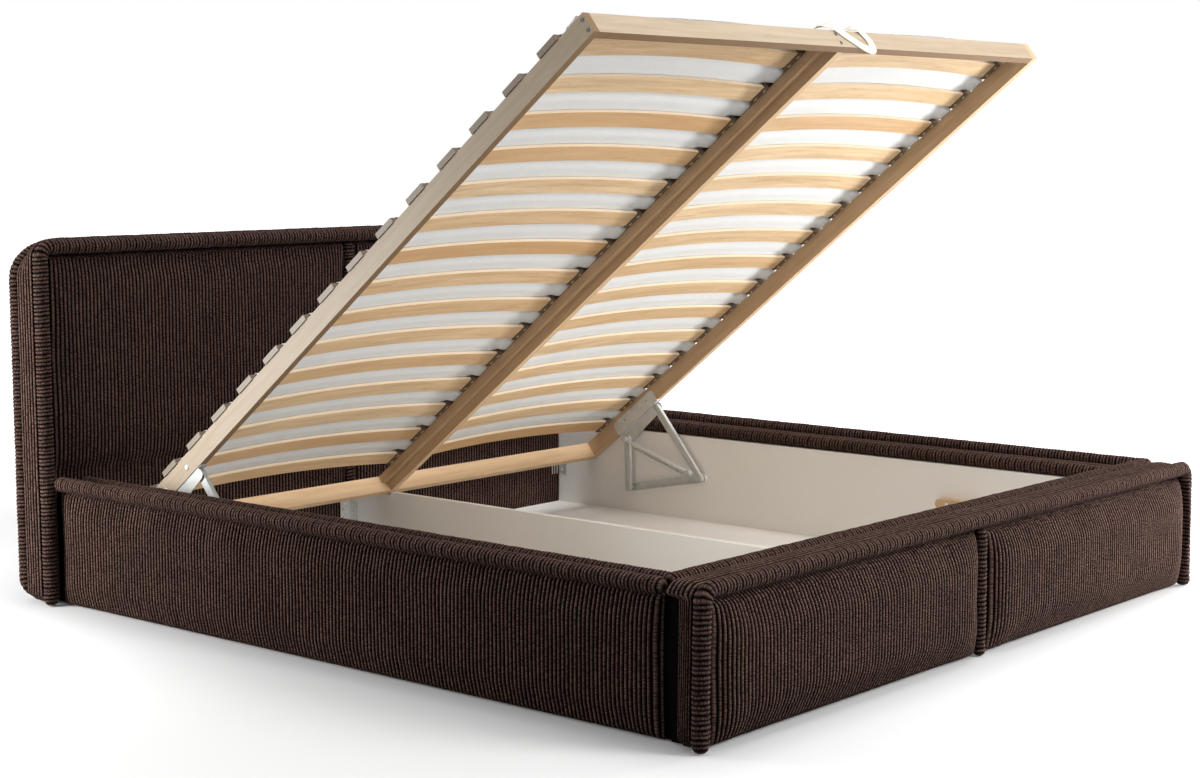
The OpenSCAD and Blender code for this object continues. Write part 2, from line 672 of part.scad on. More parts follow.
module pull_strap() color("ivory") on_frame() {
    n = len(strap_path);
    at = function(i) let (p = strap_path[i][0]) [p[0], -frame_l - p[1], rail_h + p[2]];
    unit = function(v) v / norm(v);
    along = function(i) unit(at(min(n - 1, i + 1)) - at(max(0, i - 1)));
    across = function(i) let (q = strap_path[i][1], w = [q[0], -q[1], q[2]], t = along(i))
        unit(w - t * (w * t));
    ring = function(i) let (w = across(i) * strap_w / 2,
            k = unit(cross(along(i), across(i))) * strap_t / 2)
        [at(i) - w - k, at(i) + w - k, at(i) + w + k, at(i) - w + k];
    points = [for (i = [0:n - 1]) each ring(i)];
    sides = [for (i = [0:n - 2]) for (j = [0:3]) let (a = 4 * i + j, b = 4 * i + (j + 1) % 4)
        each j == 2 ? [[a, a + 4, b], [a + 4, b + 4, b]] : [[a, b + 4, b], [a, a + 4, b + 4]]];
    e = 4 * (n - 1);
    polyhedron(points, concat(sides,
        [[0, 1, 2], [0, 2, 3], [e, e + 2, e + 1], [e, e + 3, e + 2]]));
}

module frame_screws() color(zinc) on_frame() {
    for (s = [-1, 1]) side(s) for (y = [-rail_t / 2, -frame_l + rail_t / 2])
        for (z = screw_z) translate([frame_w / 2 - rail_t, y, z]) rotate([0, 90, 0]) {
            cylinder(h = rail_t, r = screw_r, $fn = 24);
            translate([0, 0, rail_t]) cylinder(h = 1.2, r = 4.5, $fn = 24);
        }
    for (end = [0, 1]) for (z = screw_z)
        translate([centre_screw_x, end * -frame_l, z]) mirror([0, end, 0])
            rotate([90, 0, 0]) {
            cylinder(h = rail_t, r = screw_r, $fn = 24);
            translate([0, 0, -1.2]) cylinder(h = 1.2, r = 4.5, $fn = 24);
        }
}

// Coach bolts through the side rails and the brackets' inner flanges
module bracket_bolts() color(zinc) on_frame() for (s = [-1, 1]) side(s) for (a = bolt_at)
    translate([frame_w / 2, -a, bolt_z]) rotate([0, -90, 0]) {
        translate([0, 0, -3]) cylinder(h = 3, r1 = 5, r2 = 8);
        cylinder(h = rail_t + steel_t + 6, r = bolt_r);
        translate([0, 0, rail_t + steel_t]) difference() {
            cylinder(h = 5, d = 11, $fn = 6);
            translate([0, 0, -cut]) cylinder(h = 5 + 2 * cut, r = bolt_r - play);
        }
    }

// Lift mechanism, drawn on the right: outlines lie in the upright plane along the bed

// Extrudes an outline of [y, z] points between two depths from the inner board
module layer(d0, d1) translate([board_x - d1, 0, 0]) rotate([90, 0, 90])
    linear_extrude(d1 - d0) children();
module pin(p, d0, d1, r) layer(d0, d1) translate(p) circle(r);

// Bar outline with round ends
module bar(p, q, w) translate(p) rotate(heading(p, q)) {
    l = norm(q - p);
    translate([0, -w / 2]) square([l, w]);
    for (c = [0, l]) translate([c, 0]) circle(d = w);
}

// Pressed channel with its web towards the board and its rim inwards
module channel(p, q, w, d0, deep) difference() {
    layer(d0, d0 + deep) bar(p, q, w);
    layer(d0 + steel_t, d0 + deep + cut) bar(p, q, w - 2 * steel_t);
}

module mechanism_base(s) color(zinc) side(s) {
    channel(rear_foot, front_foot, base_w, 0, base_deep);
    for (p = [rear_foot, front_foot]) {
        pin(p, steel_t, link_d - soft, head_r);
        pin(p, link_d - soft, link_d + steel_t + soft, pin_r);
        pin(p, link_d + steel_t + soft, link_d + steel_t + 3, head_r);
    }
}
module mechanism_base_left() mechanism_base(-1);
module mechanism_base_right() mechanism_base(1);

module rear_link(s) color(zinc) side(s) {
    difference() {
        channel(rear_foot, rear_up, link_w, link_d, link_deep);
        pin(rear_foot, link_d - cut, link_d + steel_t + cut, hole_r);
    }
    pin(rear_up, link_d + steel_t, strut_d - eye_w / 2 - soft, head_r);
}
module rear_link_left() rear_link(-1);
module rear_link_right() rear_link(1);

module front_link(s) color(zinc) side(s) {
    difference() {
        union() {
            channel(front_foot, front_up, link_w, link_d, link_deep);
            layer(link_d, link_d + steel_t) bar(front_foot, strut_foot, link_w);
        }
        for (p = [front_foot, front_up])
            pin(p, link_d - cut, link_d + steel_t + cut, hole_r);
    }
    pin(strut_foot, link_d + steel_t, strut_d + eye_w / 2 + soft, pin_r);
    pin(strut_foot, link_d + steel_t, strut_d - eye_w / 2 - soft, head_r);
    pin(strut_foot, strut_d + eye_w / 2 + soft, strut_d + eye_w / 2 + 3, head_r);
}
module front_link_left() front_link(-1);
module front_link_right() front_link(1);

// Draws along the strut: local y runs from its lower pin to its upper pin
module on_strut() translate([board_x - strut_d, strut_foot[0], strut_foot[1]])
    rotate([heading(strut_foot, rear_up), 0, 0]) children();
module eye(y, r_hole) translate([-eye_w / 2, y, 0]) rotate([0, 90, 0]) difference() {
    cylinder(h = eye_w, r = eye_r);
    translate([0, 0, -cut]) cylinder(h = eye_w + 2 * cut, r = r_hole);
}

module strut_barrel(s) color(zinc) side(s) on_strut() {
    y0 = eye_r + 4;
    eye(0, hole_r);
    difference() {
        union() {
            translate([-3, eye_r - 2, -3]) cube([6, 8, 6]);
            roll_y([0, y0, 0], barrel_l - y0, barrel_d / 2);
        }
        roll_y([0, strut_l - rod_l - 8, 0], rod_l, rod_d / 2 + 0.3);
    }
    translate([-guard_w / 2, y0 + 8, -guard_drop - guard_t])
        cube([guard_w, barrel_l - y0 - 16, guard_t]);
    for (y = [y0 + 10, barrel_l - 30]) translate([-3, y, -guard_drop - cut])
        cube([6, 12, guard_drop - barrel_d / 2 + 3]);
}
module strut_barrel_left() strut_barrel(-1);
module strut_barrel_right() strut_barrel(1);

module strut_rod(s) color(zinc) side(s) on_strut() {
    roll_y([0, strut_l - rod_l, 0], rod_l - eye_r + 2, rod_d / 2);
    translate([-eye_w / 2, strut_l, 0]) rotate([0, 90, 0]) cylinder(h = eye_w, r = eye_r);
    translate([-eye_w / 2 - 2, strut_l, 0]) rotate([0, 90, 0]) cylinder(h = 3, r = head_r);
}
module strut_rod_left() strut_rod(-1);
module strut_rod_right() strut_rod(1);

// Bracket under a side rail: a slotted flange on the rail's inner face, a web under the
// rail and a tapering plate that hangs from the web's outer edge and carries both pivots
module lift_bracket(s) color(zinc) on_frame() side(s) {
    y0 = -(front_pin_at + 22);
    y1 = y0 + bracket_l;
    flange_d = board_x - (frame_w / 2 - rail_t);
    top = rail_h - 12;
    layer(flange_d, flange_d + steel_t) difference() {
        polygon([[y0, -steel_t], [y1, -steel_t], [y1, top - 8], [y1 - 8, top],
            [y0 + 8, top], [y0, top - 8]]);
        for (a = bolt_at) translate([-a, bolt_z]) bar([-7, 0], [7, 0], 2 * bolt_r + 2);
    }
    translate([board_x - flange_d - steel_t / 2, y0, -steel_t])
        cube([flange_d + steel_t / 2 - bracket_d, bracket_l, steel_t]);
    layer(bracket_d, bracket_d + steel_t) union() {
        polygon([[front_pin[0], 0], [front_pin[0], -2 * front_pin_below],
            [y1 - 12, -bracket_deep], [y1, -bracket_deep + 8], [y1, 0]]);
        translate(front_pin) circle(front_pin_below);
    }
    pin(rear_pin, bracket_d + steel_t, link_d - soft, head_r);
    pin(front_pin, bracket_d + steel_t, link_d - soft, head_r);
    pin(front_pin, link_d - soft, link_d + steel_t + soft, pin_r);
    pin(front_pin, link_d + steel_t + soft, link_d + steel_t + 3, head_r);
}
module lift_bracket_left() lift_bracket(-1);
module lift_bracket_right() lift_bracket(1);

headboard_core();
headboard_cushion_left();
headboard_cushion_right();
headboard_centre_roll();
headboard_front_roll();
headboard_band();
headboard_back_roll();
headboard_back_cover();
footboard_core();
footboard_cushion_left();
footboard_cushion_right();
footboard_centre_roll();
footboard_outer_roll();
footboard_band();
footboard_inner_roll();
footboard_inner_board();
left_side_core();
left_side_cushion();
left_side_outer_roll();
left_side_band();
left_side_inner_roll();
left_inner_board();
right_side_core();
right_side_cushion();
right_side_outer_roll();
right_side_band();
right_side_inner_roll();
right_inner_board();
centre_divider();
floor_panel_left();
floor_panel_right();
connector_plates();
rest_blocks();
base_glides();
box_screws();
mechanism_base_left();
mechanism_base_right();
frame_rail_left();
frame_rail_right();
frame_rail_centre();
frame_rail_head();
frame_rail_foot();
slats_left();
slats_right();
slat_holders();
slat_cover_sheet();
pull_strap();
frame_screws();
bracket_bolts();
lift_bracket_left();
lift_bracket_right();
front_link_left();
front_link_right();
rear_link_left();
rear_link_right();
strut_barrel_left();
strut_barrel_right();
strut_rod_left();
strut_rod_right();
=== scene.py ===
from math import cos, pi, radians, sin

import bpy
import numpy as np
from mathutils import Matrix, Vector


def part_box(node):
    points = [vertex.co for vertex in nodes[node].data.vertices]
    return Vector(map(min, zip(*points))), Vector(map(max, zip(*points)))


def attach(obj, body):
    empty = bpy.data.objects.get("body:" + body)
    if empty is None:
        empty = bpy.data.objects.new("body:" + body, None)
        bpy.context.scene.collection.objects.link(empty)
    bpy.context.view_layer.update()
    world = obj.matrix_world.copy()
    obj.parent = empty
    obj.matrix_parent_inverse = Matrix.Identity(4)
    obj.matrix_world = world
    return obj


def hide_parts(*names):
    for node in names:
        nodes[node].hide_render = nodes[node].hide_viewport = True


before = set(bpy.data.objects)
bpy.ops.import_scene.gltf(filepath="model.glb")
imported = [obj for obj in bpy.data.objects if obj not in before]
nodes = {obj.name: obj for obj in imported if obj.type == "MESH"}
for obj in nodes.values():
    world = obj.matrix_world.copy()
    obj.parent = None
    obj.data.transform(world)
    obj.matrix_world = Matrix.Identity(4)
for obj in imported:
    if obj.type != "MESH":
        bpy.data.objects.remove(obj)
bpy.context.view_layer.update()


# ---- The viewpoint ----
# The photograph was taken from the left of the foot end, at about chest height, with a fairly
# long lens. Its frame is 1200 x 778 pixels.
eye_data = bpy.data.cameras.new("eye")
eye = bpy.data.objects.new("eye", eye_data)
bpy.context.scene.collection.objects.link(eye)
eye_data.sensor_width = 36.0
eye_data.lens = 64.12
eye_data.shift_x = -0.0372
eye_data.shift_y = 0.01235
eye_data.clip_end = 60.0
eye_data.dof.use_dof = False
turn = Matrix.Rotation(radians(-50.18), 4, "Z") @ Matrix.Rotation(radians(90 - 6.89), 4, "X")
eye.matrix_world = Matrix.Translation((-4.2036, -3.6037, 1.1705)) @ turn
bpy.context.scene.camera = eye


# ---- Headboard cushions ----
# Two large foam pads in ribbed corduroy, sewn at their edges and stapled to the board behind.
# Below the height of the side rails they are pressed thin.


def only(*pieces):
    bpy.ops.object.select_all(action="DESELECT")
    for p in pieces:
        p.select_set(True)
    bpy.context.view_layer.objects.active = pieces[0]


def named(name):
    piece = bpy.context.active_object
    piece.name = piece.data.name = name
    return piece


def grid_piece(name, columns, rows, place):
    """A grid primitive whose points are put where place(u, v) says, u and v from 0 to 1."""
    bpy.ops.object.select_all(action="DESELECT")
    bpy.ops.mesh.primitive_grid_add(x_subdivisions=columns, y_subdivisions=rows, size=2)
    piece = named(name)
    flat = np.empty(len(piece.data.vertices) * 3)
    piece.data.vertices.foreach_get("co", flat)
    flat = flat.reshape(-1, 3)
    u = np.rint((flat[:, 0] + 1) / 2 * columns).astype(int)
    v = np.rint((flat[:, 1] + 1) / 2 * rows).astype(int)
    points = place(u, v)
    piece.data.vertices.foreach_set("co", points.astype(float).ravel())
    piece.data.update()
    return piece, u, v


def write_pile(piece, height, across, along):
    """Keeps, for the cloth's pattern, the rib's height, and the cloth's own two directions."""
    layer = piece.data.attributes.new("pile", "FLOAT", "POINT")
    layer.data.foreach_set("value", height.astype(np.float32))
    corner = np.empty(len(piece.data.loops), dtype=int)
    piece.data.loops.foreach_get("vertex_index", corner)
    cloth = piece.data.uv_layers[0]
    cloth.name = "cloth"
    flat = np.stack([across[corner], along[corner]], axis=1)
    cloth.data.foreach_set("uv", flat.astype(np.float32).ravel())


RIB, RIB_COLUMNS = 0.0113, 6
RIB_WANDER, RIB_FADE = 0.0012, 0.004
rib_place = np.array([0.0, 0.14, 0.30, 0.5, 0.70, 0.86])
rib_height = np.array([0.0, 0.50, 0.90, 1.0, 0.90, 0.50])


def waves(a, b, seed):
    """Smooth hand-made unevenness, from -1 to 1."""
    s = seed * 1.7
    return (
        np.sin(a * 3.1 + b * 1.3 + s)
        + np.sin(a * 7.3 - b * 4.9 + s * 2.3)
        + np.sin(a * 13.7 + b * 9.1 + s * 4.1)
    ) / 3


def swell(share):
    share = np.clip(share, 0, 1)
    return np.sqrt(1 - (1 - share) ** 2)


def ease(share):
    share = np.clip(share, 0, 1)
    return share * share * (3 - 2 * share)


def pad_form(w, l, edge, crown, soft, low=0.0, low_rise=0.0, wall_w=0.014, wall_l=0.014,
             bulge=(-0.003, -0.003), top_edge=None):
    """The pad's face: u, v from 0 to 1 to (across, up, out). Its edge rolls round to the back.
    bulge is how far its two upright edges swell outwards at half height."""

    def form(u, v):
        def line(t, size, wall):
            t = np.asarray(t, float)
            near = np.minimum(t, 1 - t) * size
            bend = np.clip(near / wall, 0, 1)
            at = np.where(near < wall, wall * (1 - np.cos(bend * pi / 2)), near)
            at = np.where(t < 0.5, at, size - at)
            return at, np.sin(bend * pi / 2)

        x, du = line(u, w, wall_w)
        z, dv = line(v, l, wall_l)
        if low:
            full = low_rise + (crown - low_rise) * swell((z - low) / soft)
        else:
            full = np.full_like(z, crown)
        rim = edge + ((top_edge or edge) - edge) * np.clip(z / l * 4 - 3, 0, 1)
        rim = np.minimum(rim, full)
        rise = rim + (full - rim) * swell(np.minimum(x, w - x) / soft) * swell(
            np.minimum(z, l - z) / soft
        ) * (0.9 + 0.1 * np.sin(pi * x / w))
        out = rise * np.minimum(du, dv)
        pull = np.sin(pi * np.clip(z / l, 0, 1))
        x = x + pull * (bulge[1] * np.clip(2 * x / w - 1, 0, 1) ** 3
                        - bulge[0] * np.clip(1 - 2 * x / w, 0, 1) ** 3)
        return x, z, out

    return form


COARSE = 0.016
BLOWING_FRAMES = 20


def plump(form, w, l, cap, name):
    """Blows a coarse copy of the pad up as cloth, and returns how far each point moved. None
    moves further than cap."""
    cols, rows = (max(12, round(size / COARSE)) for size in (w, l))
    moved = np.zeros((cols + 1, rows + 1, 3))
    shares = np.linspace(0, 1, cols + 1), np.linspace(0, 1, rows + 1)
    x, z, out = form(*np.meshgrid(*shares, indexing="ij"))

    def place(i, j):
        return np.stack([x[i, j], -out[i, j], z[i, j]], axis=1)

    pad, i, j = grid_piece(name + "_form", cols, rows, place)
    only(pad)
    bpy.ops.object.mode_set(mode="EDIT")
    bpy.ops.mesh.select_all(action="DESELECT")
    bpy.ops.mesh.select_non_manifold()
    bpy.ops.mesh.edge_face_add()
    bpy.ops.object.mode_set(mode="OBJECT")
    held = pad.vertex_groups.new(name="stapled")
    rim = [int(k) for k in np.nonzero((i < 1) | (i > cols - 1) | (j < 1) | (j > rows - 1))[0]]
    held.add(rim, 1.0, "REPLACE")
    cloth = pad.modifiers.new("cloth", "CLOTH")
    cloth.settings.quality = 5
    cloth.settings.mass = 0.3
    cloth.settings.use_pressure = True
    cloth.settings.uniform_pressure_force = 4.0
    cloth.settings.shrink_min = -0.012
    cloth.settings.vertex_group_mass = "stapled"
    cloth.settings.effector_weights.gravity = 0
    cloth.point_cache.frame_end = BLOWING_FRAMES
    for number in range(1, BLOWING_FRAMES + 1):
        bpy.context.scene.frame_set(number)
    done = pad.evaluated_get(bpy.context.evaluated_depsgraph_get()).to_mesh()
    after = np.empty(len(done.vertices) * 3)
    done.vertices.foreach_get("co", after)
    before = np.empty(len(pad.data.vertices) * 3)
    pad.data.vertices.foreach_get("co", before)
    step = (after - before).reshape(-1, 3)
    far = np.linalg.norm(step, axis=1)
    step *= (cap * np.tanh(far / cap) / np.maximum(far, 1e-9))[:, None]
    moved[i, j] = step
    bpy.data.objects.remove(pad)
    bpy.context.scene.frame_set(1)
    for _ in range(2):
        inner = moved[1:-1, 1:-1]
        around = (moved[:-2, 1:-1] + moved[2:, 1:-1] + moved[1:-1, :-2] + moved[1:-1, 2:]) / 4
        moved[1:-1, 1:-1] = (inner + around) / 2
    return moved, cols, rows


def between(moved, cols, rows, u, v):
    a, b = np.clip(u * cols, 0, cols - 1e-6), np.clip(v * rows, 0, rows - 1e-6)
    i, j = a.astype(int), b.astype(int)
    s, t = (a - i)[:, None], (b - j)[:, None]
    s, t = ease(s), ease(t)
    return (
        moved[i, j] * (1 - s) * (1 - t)
        + moved[i + 1, j] * s * (1 - t)
        + moved[i, j + 1] * (1 - s) * t
        + moved[i + 1, j + 1] * s * t
    )


def close_up(piece, merge=0.0, angle=80):
    """Merges points that lie together, shuts what is open, and smooths the faces."""
    only(piece)
    bpy.ops.object.mode_set(mode="EDIT")
    bpy.ops.mesh.select_all(action="SELECT")
    if merge:
        bpy.ops.mesh.remove_doubles(threshold=merge)
        bpy.ops.mesh.select_all(action="SELECT")
    bpy.ops.mesh.fill_holes(sides=0)
    bpy.ops.mesh.select_all(action="SELECT")
    bpy.ops.mesh.normals_make_consistent(inside=False)
    bpy.ops.object.mode_set(mode="OBJECT")
    bpy.ops.object.shade_smooth_by_angle(angle=radians(angle))
    return piece


def ribbed_pad(name, form, moved, w, l, rows, depth, seed, basis, origin, flip=False):
    """The pad's skin with its ribs, laid over the plumped form and closed at the back. basis
    holds the directions across, inwards and up, and flip mirrors the plumped form."""
    moved, cols, coarse_rows = moved
    ribs = round(w / RIB)
    columns = ribs * RIB_COLUMNS

    def share(i, j):
        rib = i // RIB_COLUMNS
        u = (rib + rib_place[i % RIB_COLUMNS]) / ribs
        t = j / rows
        v = t + 0.35 * np.sin(2 * pi * (1 - t)) / (2 * pi)
        v = np.where(j == rows, 1.0, v)
        inside = np.minimum(u, 1 - u) * ribs
        u = u + waves(u * w * 2.2, v * l * 4, seed) * RIB_WANDER / w * np.clip(inside, 0, 1)
        return np.clip(u, 0, 1), np.clip(v, 0, 1)

    def surface(u, v):
        x, z, out = form(u, v)
        p = np.stack([x, -out, z], axis=1)
        m = between(moved, cols, coarse_rows, 1 - u if flip else u, v)
        if flip:
            m = m * np.array([-1, 1, 1])
        return p + m

    def place(i, j):
        u, v = share(i, j)
        step = 0.0008
        here = surface(u, v)
        du = surface(np.minimum(u + step, 1), v) - surface(np.maximum(u - step, 0), v)
        dv = surface(u, np.minimum(v + step, 1)) - surface(u, np.maximum(v - step, 0))
        normal = np.cross(du, dv)
        normal /= np.maximum(np.linalg.norm(normal, axis=1), 1e-12)[:, None]
        high = rib_height[i % RIB_COLUMNS] - 1
        edge = np.minimum.reduce([u * w, (1 - u) * w, v * l, (1 - v) * l])
        fade = np.clip(edge / RIB_FADE, 0, 1)
        wob = 1 + 0.15 * waves(i // RIB_COLUMNS * 2.7, v * l * 30, seed + 3)
        p = here + normal * (high * depth * fade * wob)[:, None]
        p[:, 1] = np.minimum(p[:, 1], 0)
        return p @ np.array(basis) + np.array(origin)

    piece, i, j = grid_piece(name, columns, rows, place)
    write_pile(piece, rib_height[i % RIB_COLUMNS], i / RIB_COLUMNS, share(i, j)[1] * l)
    return close_up(piece)


def join(material, value, socket):
    """Gives a socket a value, a colour of three parts, or another node's output."""
    if isinstance(value, bpy.types.NodeSocket):
        material.node_tree.links.new(value, socket)
    else:
        socket.default_value = (*value, 1) if socket.type == "RGBA" else value


def fill_in(material, node, values):
    """A name with a capital letter is an input, and one with a small letter is a setting."""
    for name, value in values.items():
        if name[0].islower():
            setattr(node, name, value)
        else:
            join(material, value, node.inputs[name.replace("_", " ")])


def shader_of(material):
    return material.node_tree.nodes["Principled BSDF"]


def new_finish(name, **values):
    material = bpy.data.materials.new(name)
    material.use_nodes = True
    fill_in(material, shader_of(material), values)
    return material


def add(material, kind, *inputs, out=0, **values):
    """A new node's output. Its inputs are given in their own order or by name."""
    node = material.node_tree.nodes.new("ShaderNode" + kind)
    fill_in(material, node, values)
    for value, socket in zip(inputs, node.inputs):
        join(material, value, socket)
    return node.outputs if out is None else node.outputs[out]


def maths(material, kind, *values):
    return add(material, "Math", *values, operation=kind)


def noise(material, at, scale, **more):
    return add(material, "TexNoise", Vector=at, Scale=scale, **more)


def stretched(material, at, scale):
    return add(material, "Mapping", Vector=at, Scale=scale)


def blend(material, factor, one, two):
    """A colour between the two, by the factor."""
    mix = material.node_tree.nodes.new("ShaderNodeMix")
    mix.data_type = "RGBA"
    for place, value in ((0, factor), (6, one), (7, two)):
        join(material, value, mix.inputs[place])
    return mix.outputs[2]


def coloured(material, colour, height=None, strength=0.0, depth=0.0):
    """Gives a material its colour and its fine relief."""
    join(material, colour, shader_of(material).inputs["Base Color"])
    if height:
        relief = add(material, "Bump", Height=height, Strength=strength, Distance=depth)
        join(material, relief, shader_of(material).inputs["Normal"])
    return material


# Corduroy: dark brown pile with fine cross notches along every rib. Down in the grooves and
# the notches the colour goes nearly black: painted shade, added to the shade of the relief.
NOTCH = 0.0036
corduroy = new_finish("brown_corduroy", Roughness=0.95, Specular_IOR_Level=0.04,
                      Sheen_Weight=0.03, Sheen_Roughness=0.5, Sheen_Tint=(0.62, 0.5, 0.44))
uv = add(corduroy, "UVMap", uv_map="cloth")
beads = add(corduroy, "TexVoronoi", voronoi_dimensions="2D", feature="SMOOTH_F1",
            Vector=stretched(corduroy, uv, (1.0, 1.0 / NOTCH, 1.0)), Scale=1.0,
            Smoothness=0.35, Randomness=0.62)
bead = add(corduroy, "MapRange", Value=beads, From_Min=0.12, From_Max=0.62, To_Min=1.0,
           To_Max=0.0)
place = add(corduroy, "TexCoord", out="Object")
fuzz = noise(corduroy, place, 900.0, Detail=3.0)
cloud = noise(corduroy, place, 9.0, Detail=5.0, Roughness=0.6)
streak = noise(corduroy, stretched(corduroy, uv, (0.9, 22.0, 1.0)), 1.0, Detail=4.0,
               noise_dimensions="2D")
pile = add(corduroy, "Attribute", out="Fac", attribute_name="pile", attribute_type="GEOMETRY")
pile_top = maths(corduroy, "POWER", pile, 3.6)
lit = pile_top
for uneven, share, least in ((bead, 0.78, 0.22), (streak, 0.9, 0.55), (cloud, 0.7, 0.65),
                             (fuzz, 0.5, 0.75)):
    lit = maths(corduroy, "MULTIPLY", lit,
                maths(corduroy, "MULTIPLY_ADD", uneven, share, least))
height = maths(corduroy, "MULTIPLY_ADD", fuzz, 0.35, maths(corduroy, "MULTIPLY", pile_top, bead))
# groove is the painted shade colour in the grooves and notches, crest the pile's own brown.
groove, crest = (0.0010, 0.0004, 0.0004), (0.170, 0.100, 0.081)
coloured(corduroy, blend(corduroy, lit, groove, crest), height, 0.9, 0.0011)


def dress(piece, cloth, body="bed_base"):
    piece.data.materials.clear()
    piece.data.materials.append(cloth)
    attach(piece, body)


def upholster(piece, node):
    """Corduroy over stuffing, in the place of the CAD node."""
    dress(piece, corduroy)
    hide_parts(node)


FACING_FOOT = [[1, 0, 0], [0, 1, 0], [0, 0, 1]]
# The cushions are pressed thin up to this height, and reach past their CAD height to the roll.
HEAD_PRESSED, HEAD_REACH = 0.338, 0.009
head_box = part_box("headboard_cushion_left")
head_w = head_box[1][0] - head_box[0][0]
head_l = head_box[1][2] - head_box[0][2] + HEAD_REACH
head_form = pad_form(head_w, head_l, edge=0.010, crown=0.027, soft=0.11, low=HEAD_PRESSED,
                     low_rise=0.0095, wall_l=0.006, top_edge=0.023)
head_moved = plump(head_form, head_w, head_l, cap=0.006, name="headboard")
for side, seed in (("left", 1), ("right", 2)):
    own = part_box(f"headboard_cushion_{side}")
    pad = ribbed_pad(
        f"Headboard_cushion_{side}", head_form, head_moved, head_w, head_l, rows=66,
        depth=0.0042, seed=seed, basis=FACING_FOOT,
        origin=(own[0][0], head_box[1][1], head_box[0][2]), flip=side == "right",
    )
    upholster(pad, f"headboard_cushion_{side}")


# ---- Rolls ----
# Every edge carries a stuffed roll of the same corduroy, whose ribs run round it as rings.
# The roll is sewn to the panel beside it, and its ends are gathered shut.
def path_of(points):
    """The path's points without doubled ones, and how far along it each of them lies."""
    line = [np.array(points[0], float)]
    for point in points[1:]:
        point = np.array(point, float)
        if np.linalg.norm(point - line[-1]) > 1e-6:
            line.append(point)
    line = np.array(line)
    run = np.concatenate([[0], np.cumsum(np.linalg.norm(np.diff(line, axis=0), axis=1))])
    return line, run


def along(line, run, s):
    return np.stack([np.interp(s, run, line[:, k]) for k in range(3)], axis=1)


def outward(ahead, side):
    """The direction square to the way ahead and to the side."""
    ahead = ahead / np.linalg.norm(ahead, axis=1)[:, None]
    out = np.cross(np.broadcast_to(side, ahead.shape), ahead)
    return out / np.linalg.norm(out, axis=1)[:, None]


def bend(cx, cz, y, r, a0, a1, wide=None):
    """A quarter turn of 24 points. wide is its half width where that isn't r."""
    return [
        (cx + (wide or r) * cos(radians(a)), y, cz + r * sin(radians(a)))
        for a in np.linspace(a0, a1, 24)
    ]


RING_PITCH, RING_DEPTH = 0.0098, 0.0030
RING_LEAN, RING_WANDER, RING_UNEVEN, ROLL_DENT = 0.0011, 0.0009, 0.0008, 0.0007
ring_place = np.array([0.0, 0.2, 0.5, 0.8])
ring_height = np.array([0.0, 0.78, 1.0, 0.78])
RING_STEPS = len(ring_place)
SEAM = 0.00004


def roll(name, line, r, side, ends=("gathered", "gathered"), around=20, seed=0, flat=None):
    """A stuffed roll along the line. side is a direction square to the whole path, and flat
    presses the finished points into their place."""
    line, run = path_of(line)
    total = run[-1]
    rings = max(3, round(total / RING_PITCH))
    side = np.array(side, float)

    def place(i, j):
        ring, k = i // RING_STEPS, i % RING_STEPS
        s = (ring + ring_place[k]) / rings * total
        turn = j / around * 2 * pi
        inner = np.clip(np.minimum(s, total - s) / r, 0, 1)
        lean = RING_LEAN * np.sin(turn + 1.1 + seed)
        lean = lean + RING_WANDER * waves(ring * 1.9, np.sin(turn), seed)
        uneven = RING_UNEVEN * np.sin(ring * 2.39 + seed)
        s = np.clip(s + (lean + uneven) * inner, 0, total)
        step = 0.002
        ahead = along(line, run, np.minimum(s + step, total)) - along(
            line, run, np.maximum(s - step, 0)
        )
        out = outward(ahead, side)
        size = np.full(len(s), r) + ROLL_DENT * waves(s * 9, np.sin(turn), seed + 5)
        for end, near in zip(ends, (s, total - s)):
            if end == "gathered":
                size = size * swell(near / (r * 0.9))
        puff = (ring_height[k] - 1) * RING_DEPTH * np.clip(size / r, 0.1, 1)
        reach = np.maximum(size + puff, 0)[:, None]
        p = along(line, run, s) + reach * (
            np.cos(turn)[:, None] * side + np.sin(turn)[:, None] * out
        )
        return flat(p) if flat else p

    piece, i, j = grid_piece(name, rings * RING_STEPS, around, place)
    write_pile(piece, ring_height[i % RING_STEPS], i / RING_STEPS, j / around * 2 * pi * r)
    return close_up(piece, merge=SEAM)


def hoop(half, y, top, r, bottom, wide=None, lean=0.0):
    """Up the left side, over the top and down the right side. A wide corner slopes more gently,
    and lean draws both corners in."""
    wide = wide or r
    near = half - lean
    return (
        [(-half, y, bottom), (-near, y, top - r)]
        + bend(-near + wide, top - r, y, r, 180, 90, wide=wide)
        + bend(near - wide, top - r, y, r, 90, 0, wide=wide)
        + [(half, y, bottom)]
    )


ROLL, SEAM_ROLL = 0.019, 0.015
TO_FOOT, TO_LEFT, TO_RIGHT = (0, -1, 0), (-1, 0, 0), (1, 0, 0)
HEAD_X, HEAD_TOP = 1.051, 0.916
HEAD_FRONT_Y, HEAD_MIDDLE_Y, HEAD_BACK_Y = 1.001, 1.054, 1.107
FRONT_BEND, BACK_BEND, BACK_WIDE = 0.027, 0.080, 0.130
front_roll = roll(
    "Headboard_front_roll", hoop(HEAD_X, HEAD_FRONT_Y, HEAD_TOP, FRONT_BEND, 0.001), ROLL,
    TO_FOOT, seed=1,
)
upholster(front_roll, "headboard_front_roll")

TUCK, TUCK_FOOT = 0.046, 0.020
tuck_top = TUCK_FOOT + TUCK
back_roll = roll(
    "Headboard_back_roll",
    bend(-HEAD_X + TUCK, tuck_top, HEAD_BACK_Y, TUCK, 270, 180)
    + hoop(HEAD_X, HEAD_BACK_Y, HEAD_TOP, BACK_BEND, tuck_top, BACK_WIDE)
    + bend(HEAD_X - TUCK, tuck_top, HEAD_BACK_Y, TUCK, 0, -90),
    ROLL, TO_FOOT, seed=2,
)
upholster(back_roll, "headboard_back_roll")

